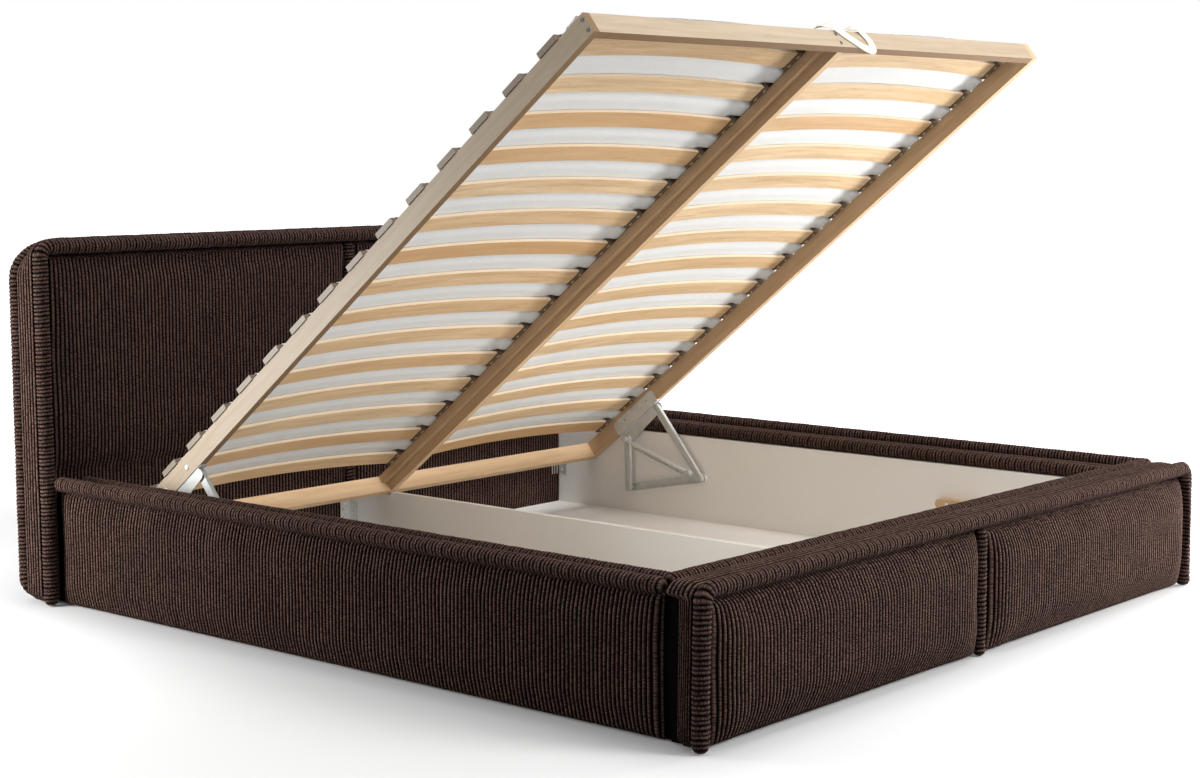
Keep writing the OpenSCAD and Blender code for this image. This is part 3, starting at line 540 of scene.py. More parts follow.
centre_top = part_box("headboard_centre_roll")[1][2]
CENTRE_LOW_Y, CENTRE_MID_Y, CENTRE_HIGH_Y = 1.0262, 1.0215, 1.0167


def squashed(p):
    """Below the deck the roll is pressed flat."""
    low = np.clip(p[:, 1], 1.0206, 1.0314)
    y = np.where(p[:, 2] < 0.342, low, np.minimum(p[:, 1], 1.0316))
    return np.stack([p[:, 0], y, p[:, 2]], axis=1)


centre_roll = roll(
    "Headboard_centre_roll",
    [(0, CENTRE_LOW_Y, 0.003), (0, CENTRE_LOW_Y, 0.325), (0, CENTRE_MID_Y, 0.345),
     (0, CENTRE_HIGH_Y, 0.365), (0, CENTRE_HIGH_Y, centre_top)],
    SEAM_ROLL, TO_LEFT, seed=3, around=16, flat=squashed,
)
upholster(centre_roll, "headboard_centre_roll")


# ---- Padded bands ----
# Between the rolls the edges are covered with a padded strip. Its ribs run along it, and it
# swells a little between its two seams.
BAND_RIBS, BAND_BACK = 6, 5
BAND_STEP, BAND_END = 0.02, 0.012
BAND_DEPTH, BAND_WANDER, BAND_DENT = 0.0030, 0.0009, 0.0008


def band(name, lines, side, low, high, out_at, in_at, swell_by=0.003, rise=None, seed=0):
    """A strip from one line to another. low and high are its two edges along side, as functions
    of the share of the way, and out_at and in_at its outer and inner face. rise lifts the
    outer face by the share of the way across."""
    (first, first_run), (last, last_run) = (path_of(line) for line in lines)
    total = first_run[-1]
    stations = max(8, round(total / BAND_STEP))
    columns = BAND_RIBS * RIB_COLUMNS
    around = columns + BAND_BACK + 2
    side = np.array(side, float)
    turns = np.linalg.norm(np.diff(first, axis=0, n=2), axis=1) > 1e-9
    places = [k / stations for k in range(stations + 1)]
    if turns.any():
        bends = first_run[1:-1][turns] / total
        places += list(bends) + [(x + y) / 2 for x, y in zip(bends, bends[1:])]
    station_share = np.array(sorted(set(np.clip(np.round(places, 5), 0, 1))))

    def place(i, j):
        share = station_share[i]
        s = share * total
        rib, k = j // RIB_COLUMNS, j % RIB_COLUMNS
        face = (j <= columns) | (j == around)
        t = np.where(j <= columns, (rib + rib_place[k]) / BAND_RIBS,
                     1 - (j - columns - 1) / BAND_BACK)
        t = np.where(j == columns, 1.0, t)
        t = np.where(j == around, 0.0, t)
        mixed = ease(t)[:, None]

        def at_share(share):
            one = along(first, first_run, share * first_run[-1])
            two = along(last, last_run, share * last_run[-1])
            return one * (1 - mixed) + two * mixed

        step = 0.003 / total
        ahead = at_share(np.minimum(share + step, 1)) - at_share(np.maximum(share - step, 0))
        out = outward(ahead, side)
        a, b = low(share, s, total), high(share, s, total)
        wave = BAND_WANDER * waves(s * 4.0, t * 2, seed) * np.sin(pi * t)
        across = a + (b - a) * t + np.where(face, wave, 0)
        dome = swell_by * np.sin(pi * np.clip(t, 0, 1)) ** 0.5
        ridge = (rib_height[k] - 1) * BAND_DEPTH * np.clip(np.sin(pi * t) * 6, 0, 1)
        top = out_at - swell_by + dome + ridge + BAND_DENT * waves(s * 3, t, seed + 2)
        if rise is not None:
            top = top + rise(t)
        tucked = np.clip(np.minimum(s, total - s) / BAND_END, 0, 1)
        deep = in_at + (top - in_at) * np.sqrt(np.maximum(1 - (1 - tucked) ** 2, 0.02))
        deep = np.where(face, deep, in_at)
        edge = (j == 0) | (j == columns) | (j == around)
        deep = np.where(edge, np.minimum(deep, out_at - swell_by - BAND_DEPTH), deep)
        return at_share(share) + across[:, None] * side + deep[:, None] * out

    piece, i, j = grid_piece(name, len(station_share) - 1, around, place)
    pile = np.where(j <= columns, rib_height[j % RIB_COLUMNS], 0.0)
    write_pile(piece, pile, j / RIB_COLUMNS, station_share[i] * total)
    return close_up(piece, merge=SEAM)


def steady(value):
    return lambda share, s, total: np.full(np.shape(s), value)


HEAD_BAND_HALF = 0.0335
head_band = band(
    "Headboard_band",
    [hoop(HEAD_X, HEAD_MIDDLE_Y, HEAD_TOP, BACK_BEND, 0.004, BACK_WIDE),
     hoop(HEAD_X, HEAD_MIDDLE_Y, HEAD_TOP, FRONT_BEND, 0.004)],
    TO_FOOT, steady(-HEAD_BAND_HALF), steady(HEAD_BAND_HALF),
    out_at=0.0150, in_at=-0.019, seed=4,
)
upholster(head_band, "headboard_band")


# ---- Lining and back cloth ----
# The board frames are covered underneath with a lining in nearly black, painted shade for the
# deep gaps between the pads, and the headboard's back with a plain brown cloth, stapled flat.
def woven(name, pale, dark, threads=1400.0, roughness=0.95, depth=0.0004, shine=0.2):
    """Plain cloth of crossed threads, so many to the metre."""
    cloth = new_finish(name, Roughness=roughness, Specular_IOR_Level=shine)
    place = add(cloth, "TexCoord", out="Object")
    weave = maths(cloth, "MULTIPLY", *(
        add(cloth, "TexWave", out="Fac", wave_type="BANDS", bands_direction="DIAGONAL",
            Vector=add(cloth, "Mapping", Vector=place, Rotation=turned),
            Scale=threads / 6.28, Distortion=1.2, Detail=1.0)
        for turned in ((0, 0, radians(8)), (0, radians(6), radians(90)))
    ))
    mixed = maths(cloth, "MULTIPLY_ADD", weave, 0.6, 0.1)
    mixed = maths(cloth, "MULTIPLY_ADD", noise(cloth, place, 14.0, Detail=6.0), 0.6, mixed)
    return coloured(cloth, blend(cloth, mixed, dark, pale), weave, 0.5, depth)


def finish_nodes(material, *names):
    for name in names:
        nodes[name].data.materials.clear()
        nodes[name].data.materials.append(material)


# The lining's colour is nearly black: painted shade for the deep gaps where it shows.
lining = woven("lining_painted_shade", (0.0045, 0.0034, 0.0032), (0.0018, 0.0012, 0.0012), shine=0.01)
finish_nodes(lining, "headboard_core", "footboard_core", "left_side_core", "right_side_core")

BACK_COLUMNS, BACK_ROWS = 120, 60
BACK_CORNER = 0.043
BACK_EDGE, BACK_SWELL, BACK_RIPPLE, BACK_HEM = 0.004, 0.007, 0.0012, 0.0018
BACK_FOOT_HALF, BACK_FOOT_TOP = 1.0005, 0.068
back_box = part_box("headboard_back_cover")
back_w = back_box[1][0] - back_box[0][0]
back_l = back_box[1][2] - back_box[0][2]


def back_place(i, j):
    u, v = i / BACK_COLUMNS, j / BACK_ROWS
    x = back_box[0][0] + back_w * u
    z = back_box[0][2] + back_l * v
    edge = np.minimum.reduce([u * back_w, (1 - u) * back_w, v * back_l, (1 - v) * back_l])
    rise = BACK_EDGE + BACK_SWELL * swell(edge / 0.09)
    ripple = BACK_RIPPLE * waves(u * 9, v * 5, 7) * np.clip(edge / 0.05, 0, 1)
    hem = BACK_HEM * np.exp(-(((edge - 0.022) / 0.004) ** 2))
    y = back_box[0][1] + rise + ripple - hem
    cx = np.clip(x, back_box[0][0] + BACK_CORNER, back_box[1][0] - BACK_CORNER)
    cz = np.minimum(z, back_box[1][2] - BACK_CORNER)
    dx, dz = x - cx, np.maximum(z - cz, 0)
    both = (np.abs(dx) > 1e-9) & (dz > 1e-9)
    size = np.maximum(np.hypot(dx, dz), 1e-9)
    square = np.maximum(np.abs(dx), dz)
    x = np.where(both, cx + dx / size * square, x)
    z = np.where(both, cz + dz / size * square, z)
    x = np.where(z < BACK_FOOT_TOP, np.clip(x, -BACK_FOOT_HALF, BACK_FOOT_HALF), x)
    return np.stack([-x, y, z], axis=1)


back_cover = grid_piece("Headboard_back_cover", BACK_COLUMNS, BACK_ROWS, back_place)[0]
only(back_cover)
bpy.ops.object.mode_set(mode="EDIT")
bpy.ops.mesh.select_all(action="DESELECT")
bpy.ops.mesh.select_non_manifold()
bpy.ops.mesh.extrude_region_move(TRANSFORM_OT_translate={"value": (0, 0, 0)})
bpy.ops.transform.resize(
    value=(1, 0, 1), center_override=(0, back_box[0][1], 0), orient_type="GLOBAL"
)
bpy.ops.mesh.edge_face_add()
bpy.ops.mesh.select_all(action="SELECT")
bpy.ops.mesh.normals_make_consistent(inside=False)
bpy.ops.object.mode_set(mode="OBJECT")
bpy.ops.object.shade_smooth_by_angle(angle=radians(40))
back_cloth = woven("brown_back_cloth", (0.060, 0.042, 0.036), (0.022, 0.014, 0.012), 900.0)
dress(back_cover, back_cloth)
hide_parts("headboard_back_cover")


# ---- Footboard ----
# The footboard has two plump cushions, parted by a small upright roll, a roll round its outer
# edge, a padded band over the top and a second roll along the inside.
FOOT_BULGE, FOOT_PRESS = 0.010, 0.001
foot_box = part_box("footboard_cushion_left")
foot_w = foot_box[1][0] - foot_box[0][0]
foot_l = foot_box[1][2] - foot_box[0][2]
foot_forms = {
    side: pad_form(foot_w, foot_l, edge=0.012, crown=0.0410, soft=0.095, wall_w=0.018,
                   bulge=bulge)
    for side, bulge in (("left", (FOOT_BULGE, -FOOT_PRESS)), ("right", (-FOOT_PRESS, FOOT_BULGE)))
}
foot_moved = plump(foot_forms["left"], foot_w, foot_l, cap=0.008, name="footboard")
for side, seed in (("left", 5), ("right", 6)):
    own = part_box(f"footboard_cushion_{side}")
    pad = ribbed_pad(
        f"Footboard_cushion_{side}", foot_forms[side], foot_moved, foot_w, foot_l,
        rows=46, depth=0.0044, seed=seed, basis=FACING_FOOT,
        origin=(own[0][0], own[1][1], own[0][2]), flip=side == "right",
    )
    upholster(pad, f"footboard_cushion_{side}")

FOOT_X, FOOT_TOP, FOOT_BEND, FOOT_LEAN = 1.041, 0.320, 0.025, 0.006
FOOT_OUTER_Y, FOOT_MIDDLE_Y, FOOT_INNER_Y = -1.107, -1.054, -1.001
FOOT_CUSHION_END, FOOT_UPRIGHT_TOP = 1.0225, FOOT_TOP - 0.035


def pressed(p):
    """The cushions press into the roll's two upright parts at half height."""
    up = np.clip((p[:, 2] - foot_box[0][2]) / foot_l, 0, 1)
    limit = FOOT_CUSHION_END + (FOOT_BULGE - FOOT_PRESS) * np.sin(pi * up)
    upright = (p[:, 2] < FOOT_UPRIGHT_TOP) & (np.abs(p[:, 0]) > 1.0)
    x = np.where(upright, np.sign(p[:, 0]) * np.maximum(np.abs(p[:, 0]), limit), p[:, 0])
    return np.stack([x, p[:, 1], p[:, 2]], axis=1)


foot_outer = roll(
    "Footboard_outer_roll",
    hoop(FOOT_X, FOOT_OUTER_Y, FOOT_TOP, FOOT_BEND, 0.001, lean=FOOT_LEAN),
    ROLL, TO_FOOT, seed=7, flat=pressed,
)
upholster(foot_outer, "footboard_outer_roll")

FOOT_INNER_END = 1.010
foot_inner = roll(
    "Footboard_inner_roll",
    [(-FOOT_INNER_END, FOOT_INNER_Y, FOOT_TOP), (FOOT_INNER_END, FOOT_INNER_Y, FOOT_TOP)],
    ROLL, TO_FOOT, seed=8,
)
upholster(foot_inner, "footboard_inner_roll")

FOOT_CENTRE_Y = -1.1036
foot_centre = roll(
    "Footboard_centre_roll",
    [(0, FOOT_CENTRE_Y, 0.001), (0, FOOT_CENTRE_Y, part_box("footboard_centre_roll")[1][2])],
    SEAM_ROLL, TO_LEFT, seed=9, around=18,
)
upholster(foot_centre, "footboard_centre_roll")

FOOT_BAND_HALF, FOOT_BAND_EDGE = 0.0337, 0.0018
RAIL_END, RAIL_CLEAR = 0.293, 0.008


def step_back(share, s, total):
    """The band narrows on its upright ends, to stand clear of the side rail's cushion."""
    past = np.minimum(s, total - s) - RAIL_END
    return FOOT_BAND_EDGE - (FOOT_BAND_HALF + FOOT_BAND_EDGE) * ease(past / RAIL_CLEAR)


foot_band = band(
    "Footboard_band",
    [hoop(FOOT_X, FOOT_MIDDLE_Y, FOOT_TOP, FOOT_BEND, 0.004, lean=FOOT_LEAN)] * 2, TO_FOOT,
    step_back, steady(FOOT_BAND_HALF), out_at=0.0125, in_at=-0.0185, seed=10, swell_by=0.004,
)
upholster(foot_band, "footboard_band")


# ---- Side rails ----
# Each side rail has one long ribbed cushion outside, an outer and a lower inner roll along its
# top, and a padded band between the two rolls.
SIDE_BAND_Z, SIDE_BAND_TIP = 0.281, 0.003
side_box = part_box("right_side_cushion")
side_foot = side_box[0][1] + 0.014
side_w = side_box[1][1] - side_foot
side_l = side_box[1][2] - side_box[0][2]
side_form = pad_form(side_w, side_l, edge=0.009, crown=0.0165, soft=0.075, wall_w=0.024)
side_moved = plump(side_form, side_w, side_l, cap=0.005, name="side_rail")


def length_of(node, x, z):
    """A straight line at x and z, as long as the node."""
    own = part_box(node)
    return [(x, own[0][1], z), (x, own[1][1], z)]


for side, s in (("left", -1), ("right", 1)):
    start = side_foot if s > 0 else side_box[1][1]
    pad = ribbed_pad(
        f"Side_cushion_{side}", side_form, side_moved, side_w, side_l, rows=36, depth=0.0042,
        seed=11 + s, basis=[[0, s, 0], [-s, 0, 0], [0, 0, 1]],
        origin=(s * side_box[0][0], start, side_box[0][2]), flip=s < 0,
    )
    upholster(pad, f"{side}_side_cushion")

    for part, x, z, head_end, seed in (
        ("outer", 1.032, 0.316, "gathered", 14), ("inner", 0.922, 0.300, "cut", 18),
    ):
        edge_roll = roll(
            f"Side_{part}_roll_{side}", length_of(f"right_side_{part}_roll", s * x, z), ROLL,
            TO_LEFT, ends=("gathered", head_end), seed=seed + s,
        )
        upholster(edge_roll, f"{side}_side_{part}_roll")

    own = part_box("right_side_band")
    line = length_of("right_side_band", s * (own[0][0] + own[1][0]) / 2, SIDE_BAND_Z)
    half = (own[1][0] - own[0][0]) / 2
    strip = band(
        f"Side_band_{side}", [line, line], TO_RIGHT, steady(-half), steady(half),
        out_at=0.0310, in_at=0.0003, seed=22 + s, swell_by=0.006,
        rise=lambda t: s * SIDE_BAND_TIP * (2 * t - 1),
    )
    upholster(strip, f"{side}_side_band")


# ---- Storage box ----
# The inside of the bed is lined with boards in a pale grey-white laminate: one along each
# side, one at the foot, a low divider, and two floor panels.
laminate = new_finish("pale_laminate", Roughness=0.48, Specular_IOR_Level=0.35)
place = add(laminate, "TexCoord", out="Object")
fine = noise(laminate, place, 420.0, Detail=4.0)
broad = noise(laminate, place, 2.4, Detail=3.0)
mixed = maths(laminate, "MULTIPLY_ADD", fine, 0.25, maths(laminate, "MULTIPLY", broad, 0.8))
coloured(laminate, blend(laminate, mixed, (0.80, 0.775, 0.735), (0.89, 0.87, 0.83)), fine, 0.12,
         0.0003)
finish_nodes(laminate, "footboard_inner_board", "left_inner_board", "right_inner_board",
             "centre_divider", "floor_panel_left", "floor_panel_right")


# ---- Slatted frame ----
# Rails of birch plywood, fifteen bowed slats in each of two columns, brown plastic holders.
# The photograph shows it raised and tilted by 38 degrees.
TILT = radians(-38)
HINGE_END = Vector((0, 0.855, 0.175))
up_frame = Matrix.Rotation(TILT, 3, "X")
frame_start = up_frame.transposed() @ HINGE_END
FIRST_SLAT, SLAT_PITCH = 1.873, 0.1255


def in_frame(material):
    """The place in the slatted frame's own directions, and the way that a face looks there."""
    place = add(material, "TexCoord", out=None)
    return [
        add(material, "Mapping", Vector=place[source], Rotation=(-TILT, 0, 0),
            Location=tuple(-x for x in start))
        for source, start in (("Object", frame_start), ("Normal", (0, 0, 0)))
    ]


PLY = 0.0029
RIGHT_COLUMN = 23.0


def wood(name, pale, dark, grain_along, plies=None, tones=None, edges=None, roughness=0.5):
    """Grain runs along one axis of the frame. Faces square to the plies' axis show the sheet's
    face, and all other faces show its plies. tones gives each slat a colour of its own, and
    edges is an even pale colour on its long narrow edges, partly their own colour and partly
    painted light."""
    timber = new_finish(name, Roughness=roughness, Specular_IOR_Level=0.3)
    place, way = in_frame(timber)
    axes = add(timber, "SeparateXYZ", place, out=None)

    def along_grain(long, across):
        scale = tuple(long if k == grain_along else across for k in range(3))
        return stretched(timber, place, scale)

    def facing(axis):
        """1 on the faces that look along the axis."""
        looks = add(timber, "SeparateXYZ", way, out=None)
        return maths(timber, "GREATER_THAN", maths(timber, "ABSOLUTE", looks[axis]), 0.7)

    grain = noise(timber, along_grain(2.6, 52.0), 1.0, Detail=8.0, Roughness=0.66,
                  Distortion=0.9)
    pores = noise(timber, along_grain(34.0, 800.0), 1.0, Detail=2.0)
    ramp = add(timber, "MapRange", Value=grain, From_Min=0.32, From_Max=0.74)
    mixed = maths(timber, "ADD", ramp, maths(timber, "MULTIPLY_ADD", pores, 0.55, -0.28))
    colour = blend(timber, mixed, pale, dark)
    if tones:
        count = maths(timber, "ADD", axes[1], FIRST_SLAT + SLAT_PITCH / 2)
        count = maths(timber, "FLOOR", maths(timber, "DIVIDE", count, SLAT_PITCH))
        right = maths(timber, "GREATER_THAN", axes[0], 0.0)
        count = maths(timber, "MULTIPLY_ADD", right, RIGHT_COLUMN, count)
        chance = add(timber, "TexWhiteNoise", noise_dimensions="1D", W=count)
        deep = maths(timber, "MULTIPLY", maths(timber, "POWER", chance, 2.2), 0.8)
        colour = blend(timber, deep, colour, tones)
    if plies is not None:
        layer = maths(timber, "SINE", maths(timber, "MULTIPLY", axes[plies], 2 * pi / PLY))
        layer = maths(timber, "MULTIPLY_ADD", layer, 0.9, 0.35)
        faint = maths(timber, "MULTIPLY_ADD", grain, 0.5, layer)
        brown = (0.84 * dark[0], 0.64 * dark[1], 0.42 * dark[2])
        plied = blend(timber, faint, *(tuple(share * x for x in brown) for share in (0.9, 0.36)))
        colour = blend(timber, facing(plies), plied, colour)
    # The narrow edges' even pale colour is partly painted light.
    if edges:
        colour = blend(timber, facing(1), colour, edges)
    return coloured(timber, colour, mixed, 0.15, 0.0004)


# The same birch in two copies: darker (painted shade) on the rails the lamps light most, paler
# and warmer (painted light) on the rails that lie in shade.
birch_painted_shade = (0.43, 0.345, 0.25), (0.345, 0.26, 0.175)
birch_painted_light = (0.60, 0.42, 0.255), (0.46, 0.295, 0.16)
finish_nodes(wood("birch_ply_painted_shade_lengthwise", *birch_painted_shade, 1, plies=0), "frame_rail_left")
finish_nodes(wood("birch_ply_painted_shade_crosswise", *birch_painted_shade, 0, plies=1), "frame_rail_foot")
finish_nodes(wood("birch_ply_painted_light", *birch_painted_light, 1), "frame_rail_right", "frame_rail_centre")
finish_nodes(wood("birch_ply_painted_light_crosswise", *birch_painted_light, 0), "frame_rail_head")
# Its long narrow edges get an even pale colour, partly painted light.
slat_wood = wood(
    "bent_birch_slat", (0.68, 0.515, 0.325), (0.43, 0.275, 0.14), 0,
    tones=(0.45, 0.24, 0.09), edges=(0.66, 0.53, 0.385), roughness=0.42,
)
finish_nodes(slat_wood, "slats_left", "slats_right")

RAIL_OUTSIDE = 0.8985


def moulded(name, one, two, outside=None):
    """Moulded plastic with a fine grain. outside is its colour past the outside of the rails."""
    plastic = new_finish(name, Roughness=0.5)
    place = add(plastic, "TexCoord", out="Object")
    grain = noise(plastic, place, 650.0)
    colour = blend(plastic, grain, one, two)
    if outside:
        far = maths(plastic, "ABSOLUTE", add(plastic, "SeparateXYZ", place))
        far = maths(plastic, "GREATER_THAN", far, RAIL_OUTSIDE)
        colour = blend(plastic, far, colour, outside)
    return coloured(plastic, colour, grain, 0.2, 0.0002)


brown_plastic = moulded("brown_plastic", (0.085, 0.052, 0.028), (0.15, 0.095, 0.053),
                        outside=(0.19, 0.145, 0.095))
finish_nodes(brown_plastic, "slat_holders")


# ---- Rest blocks and glides ----
# Two beech blocks with round ends carry the lowered frame inside the box, and low black
# plastic glides carry the bed.
block_wood = wood("beech_block", (0.62, 0.43, 0.25), (0.46, 0.29, 0.15), 1)
finish_nodes(block_wood, "rest_blocks")
black_plastic = moulded("black_plastic", (0.008, 0.008, 0.008), (0.02, 0.02, 0.02))
finish_nodes(black_plastic, "base_glides")


# ---- Holder pins ----
# Every slat holder is pinned to its rail by two pale plastic pins, whose flat heads show on
# the holder's underside.
PIN = (0.0055, 0.0085, 0.0018)
PIN_Z, PINS_APART, SLATS = 0.0499, 0.032, 15
pins = []
for face in (-0.869, -0.038, 0.038, 0.869):
    bpy.ops.object.select_all(action="DESELECT")
    bpy.ops.mesh.primitive_cube_add(
        size=1, location=(face, -FIRST_SLAT - PINS_APART / 2, PIN_Z), scale=PIN
    )
    pin = named("Holder_pins")
    bpy.ops.object.transform_apply(location=True, rotation=False, scale=True)
    bpy.ops.object.mode_set(mode="EDIT")
    bpy.ops.mesh.select_all(action="SELECT")
    bpy.ops.mesh.bevel(offset=0.0004, segments=1, affect="EDGES")
    bpy.ops.object.mode_set(mode="OBJECT")
    for count, apart in ((2, PINS_APART), (SLATS, SLAT_PITCH)):
        row = pin.modifiers.new("row", "ARRAY")
        row.count = count
        row.use_relative_offset = False
        row.use_constant_offset = True
        row.constant_offset_displace = (0, apart, 0)
        bpy.ops.object.modifier_apply(modifier="row")
    pins.append(pin)
only(*pins)
bpy.ops.object.join()
pins = named("Holder_pins")
pins.data.transform(Matrix.Translation(HINGE_END) @ up_frame.to_4x4())
pale_plastic = moulded("pale_plastic", (0.50, 0.44, 0.36), (0.62, 0.56, 0.47))
dress(pins, pale_plastic, "slat_frame")


# ---- Steel ----
# The mechanisms, plates, bolts and screws are pressed steel with a dull zinc coat, a little
# cloudy and scratched. The left mechanism catches more light and mirrors more of the white
# room, so it gets a darker copy of the same coat: painted shade.
def zinc_coat(name, dark, pale):
    zinc = new_finish(name, Metallic=0.5)
    place = add(zinc, "TexCoord", out="Object")
    cloud = noise(zinc, place, 60.0, Detail=6.0)
    scratch = noise(zinc, stretched(zinc, place, (700.0, 40.0, 700.0)), 1.0)
    rough = maths(zinc, "MULTIPLY_ADD", cloud, 0.30, 0.32)
    join(zinc, rough, shader_of(zinc).inputs["Roughness"])
    return coloured(zinc, blend(zinc, cloud, dark, pale), scratch, 0.15, 0.0002)


dull_zinc = zinc_coat("dull_zinc", (0.54, 0.545, 0.525), (0.82, 0.825, 0.80))
# A darker copy of the same zinc for the left mechanism: painted shade.
zinc_painted_shade = zinc_coat("zinc_painted_shade", (0.27, 0.275, 0.265), (0.42, 0.425, 0.41))
finish_nodes(dull_zinc, "connector_plates", "box_screws", "bracket_bolts")
for side, coat in (("left", zinc_painted_shade), ("right", dull_zinc)):
    for part in ("mechanism_base", "lift_bracket", "front_link", "rear_link", "strut_barrel",
                 "strut_rod"):
        finish_nodes(coat, f"{part}_{side}")

black_steel = new_finish("blackened_screws", Metallic=0.6, Roughness=0.5)
cloud = noise(black_steel, add(black_steel, "TexCoord", out="Object"), 300.0)
coloured(black_steel, blend(black_steel, cloud, (0.045, 0.055, 0.060), (0.14, 0.16, 0.165)))
finish_nodes(black_steel, "frame_screws")


# ---- Cover sheet ----
# A thin white non-woven cloth lies over the slats, so that bedding can't drop through. It
# rests on the crowns of the bows and sags a little between one slat and the next.
SHEET_EDGE, SHEET_ROWS = 0.882, 210
SHEET_FROM, SHEET_TO = -1.962, -0.0895
OVER_RAIL_Z, SHEET_CLEAR, OVER_HOLDER, SHEET_SAG = 0.0514, 0.0011, 0.0033, 0.0035
half_across = np.concatenate([
    np.arange(0, 0.08, 0.0055), np.arange(0.08, 0.83, 0.017), np.arange(0.83, 0.8815, 0.004),
    [SHEET_EDGE],
])
sheet_across = np.concatenate([-half_across[:0:-1], half_across])


def bow_height(x):
    """Height of the cloth on the slats and holders over the frame's own floor."""
    inner, outer, seat, top = 0.050, 0.856, 0.0610, 0.0790
    t = np.clip((np.abs(x) - inner) / (outer - inner), 0, 1)
    holder = ease((0.068 - np.abs(x)) / 0.018) + ease((np.abs(x) - 0.838) / 0.018)
    return seat + (top - seat) * 4 * t * (1 - t) + SHEET_CLEAR + OVER_HOLDER * holder


def raised(p):
    """From the slatted frame's own level directions to its raised place."""
    return p @ np.array(up_frame.transposed()) + np.array(HINGE_END)


def sheet_place(i, j):
    x = sheet_across[i]
    y = SHEET_FROM + (SHEET_TO - SHEET_FROM) * j / SHEET_ROWS
    phase = ((y + FIRST_SLAT) / SLAT_PITCH) % 1.0
    away = 0.5 - np.abs(phase - 0.5)
    sag = SHEET_SAG * np.sin(np.clip((away - 0.21) / 0.29, 0, 1) * pi / 2) ** 2
    z = bow_height(x) - sag + 0.0004 * (1 + waves(x * 5, y * 6, 31))
    over_rail = np.maximum(ease((np.abs(x) - 0.836) / 0.040), ease((0.076 - np.abs(x)) / 0.046))
    down = ease((away - 0.25) / 0.10) * over_rail
    down = np.where(y < -FIRST_SLAT - 0.045, 0.0, down)
    return raised(np.stack([x, y, z * (1 - down) + OVER_RAIL_Z * down], axis=1))


sheet = grid_piece("Slat_cover_sheet", len(sheet_across) - 1, SHEET_ROWS, sheet_place)[0]
only(sheet)
thick = sheet.modifiers.new("thick", "SOLIDIFY")
thick.thickness = 0.0007
thick.offset = 1.0
bpy.ops.object.modifier_apply(modifier="thick")
bpy.ops.object.shade_smooth_by_angle(angle=radians(60))
cover = new_finish("white_nonwoven", Roughness=0.9, Specular_IOR_Level=0.15)
place = add(cover, "TexCoord", out="Object")
dots = add(cover, "TexVoronoi", Vector=place, Scale=420.0)
fleece = noise(cover, place, 120.0, Detail=6.0)
coloured(cover, blend(cover, fleece, (0.575, 0.58, 0.575), (0.64, 0.645, 0.64)), dots, 0.4,
         0.0003)
dress(sheet, cover, "slat_frame")
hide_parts("slat_cover_sheet")


# ---- Pull strap ----
# A loop of cream webbing is screwed to the top of the foot rail. It arches over and hangs
# down the rail's face, twisting where it turns back.
strap_way = [
    ((-98, -14, 1.4), (0, 1, 0)), ((-86, -14, 1.8), (0, 1, 0)), ((-76, -14, 6), (0, 1, 0)),
    ((-62, -14, 13), (0, 1, 0)), ((-44, -12, 17), (0, 0.94, -0.34)),
    ((-28, -7.4, 16.6), (0, 0.71, -0.71)), ((-12, 0.2, 13.4), (0, 0.37, -0.93)),
    ((4, 2.3, 5.4), (-0.5, 0, -0.87)), ((24, 1.7, -12), (-0.57, 0, -0.82)),
    ((46, 1.7, -29), (-0.6, 0, -0.8)), ((66, 1.7, -44), (-0.5, 0, -0.87)),
    ((84, 1.7, -54), (-0.35, 0, -0.94)), ((101, 1.7, -56), (0.2, 0, -1)),
    ((113, 1.7, -46), (0.87, 0, -0.5)), ((117, 1.7, -30), (1, 0, 0)),
    ((112, 1.7, -14), (0.94, 0, 0.35)), ((102, 2.3, 3.6), (0.76, 0, 0.65)),
    ((88, 0.2, 11.8), (0.4, -0.35, 0.85)), ((76, -9, 14), (0.15, -0.77, 0.64)),
    ((66, -13, 10), (0, -1, 0.15)), ((57, -14, 4.5), (0, -1, 0)), ((48, -14, 1.8), (0, -1, 0)),
    ((38, -14, 1.4), (0, -1, 0)),
]
STRAP_W, STRAP_T = 0.026, 0.0024
strap_points = np.array([p for p, _ in strap_way], float) / 1000
strap_across = np.array([q for _, q in strap_way], float)


def smooth_way(values, t):
    """A smooth curve through the values, t in steps between them."""
    k = np.clip(t.astype(int), 0, len(values) - 2)
    f = (t - k)[:, None]
    a, b = values[np.maximum(k - 1, 0)], values[k]
    c, d = values[k + 1], values[np.minimum(k + 2, len(values) - 1)]
    return 0.5 * (
        2 * b + (c - a) * f + (2 * a - 5 * b + 4 * c - d) * f**2
        + (3 * b - a - 3 * c + d) * f**3
    )


STRAP_SPANS, STRAP_FINE, STRAP_ROUND = len(strap_way) - 1, 8, 14
STRAP_AT = -1.990, 0.050


def strap_place(i, j):
    t = i / STRAP_FINE
    p = smooth_way(strap_points, t)
    q = smooth_way(strap_across, t)
    step = 0.05
    ahead = smooth_way(strap_points, np.minimum(t + step, STRAP_SPANS)) - smooth_way(
        strap_points, np.maximum(t - step, 0)
    )
    ahead /= np.linalg.norm(ahead, axis=1)[:, None]
    q = q - ahead * np.sum(q * ahead, axis=1)[:, None]
    q /= np.linalg.norm(q, axis=1)[:, None]
    face = np.cross(ahead, q)
    a = j / STRAP_ROUND * 2 * pi
    c, s = np.cos(a), np.sin(a)
    w = np.sign(c) * np.abs(c) ** 0.35 * STRAP_W / 2
    h = np.sign(s) * np.abs(s) ** 0.55 * STRAP_T / 2
    p = p + q * w[:, None] + face * h[:, None]
    return raised(np.stack([p[:, 0], STRAP_AT[0] - p[:, 1], STRAP_AT[1] + p[:, 2]], axis=1))


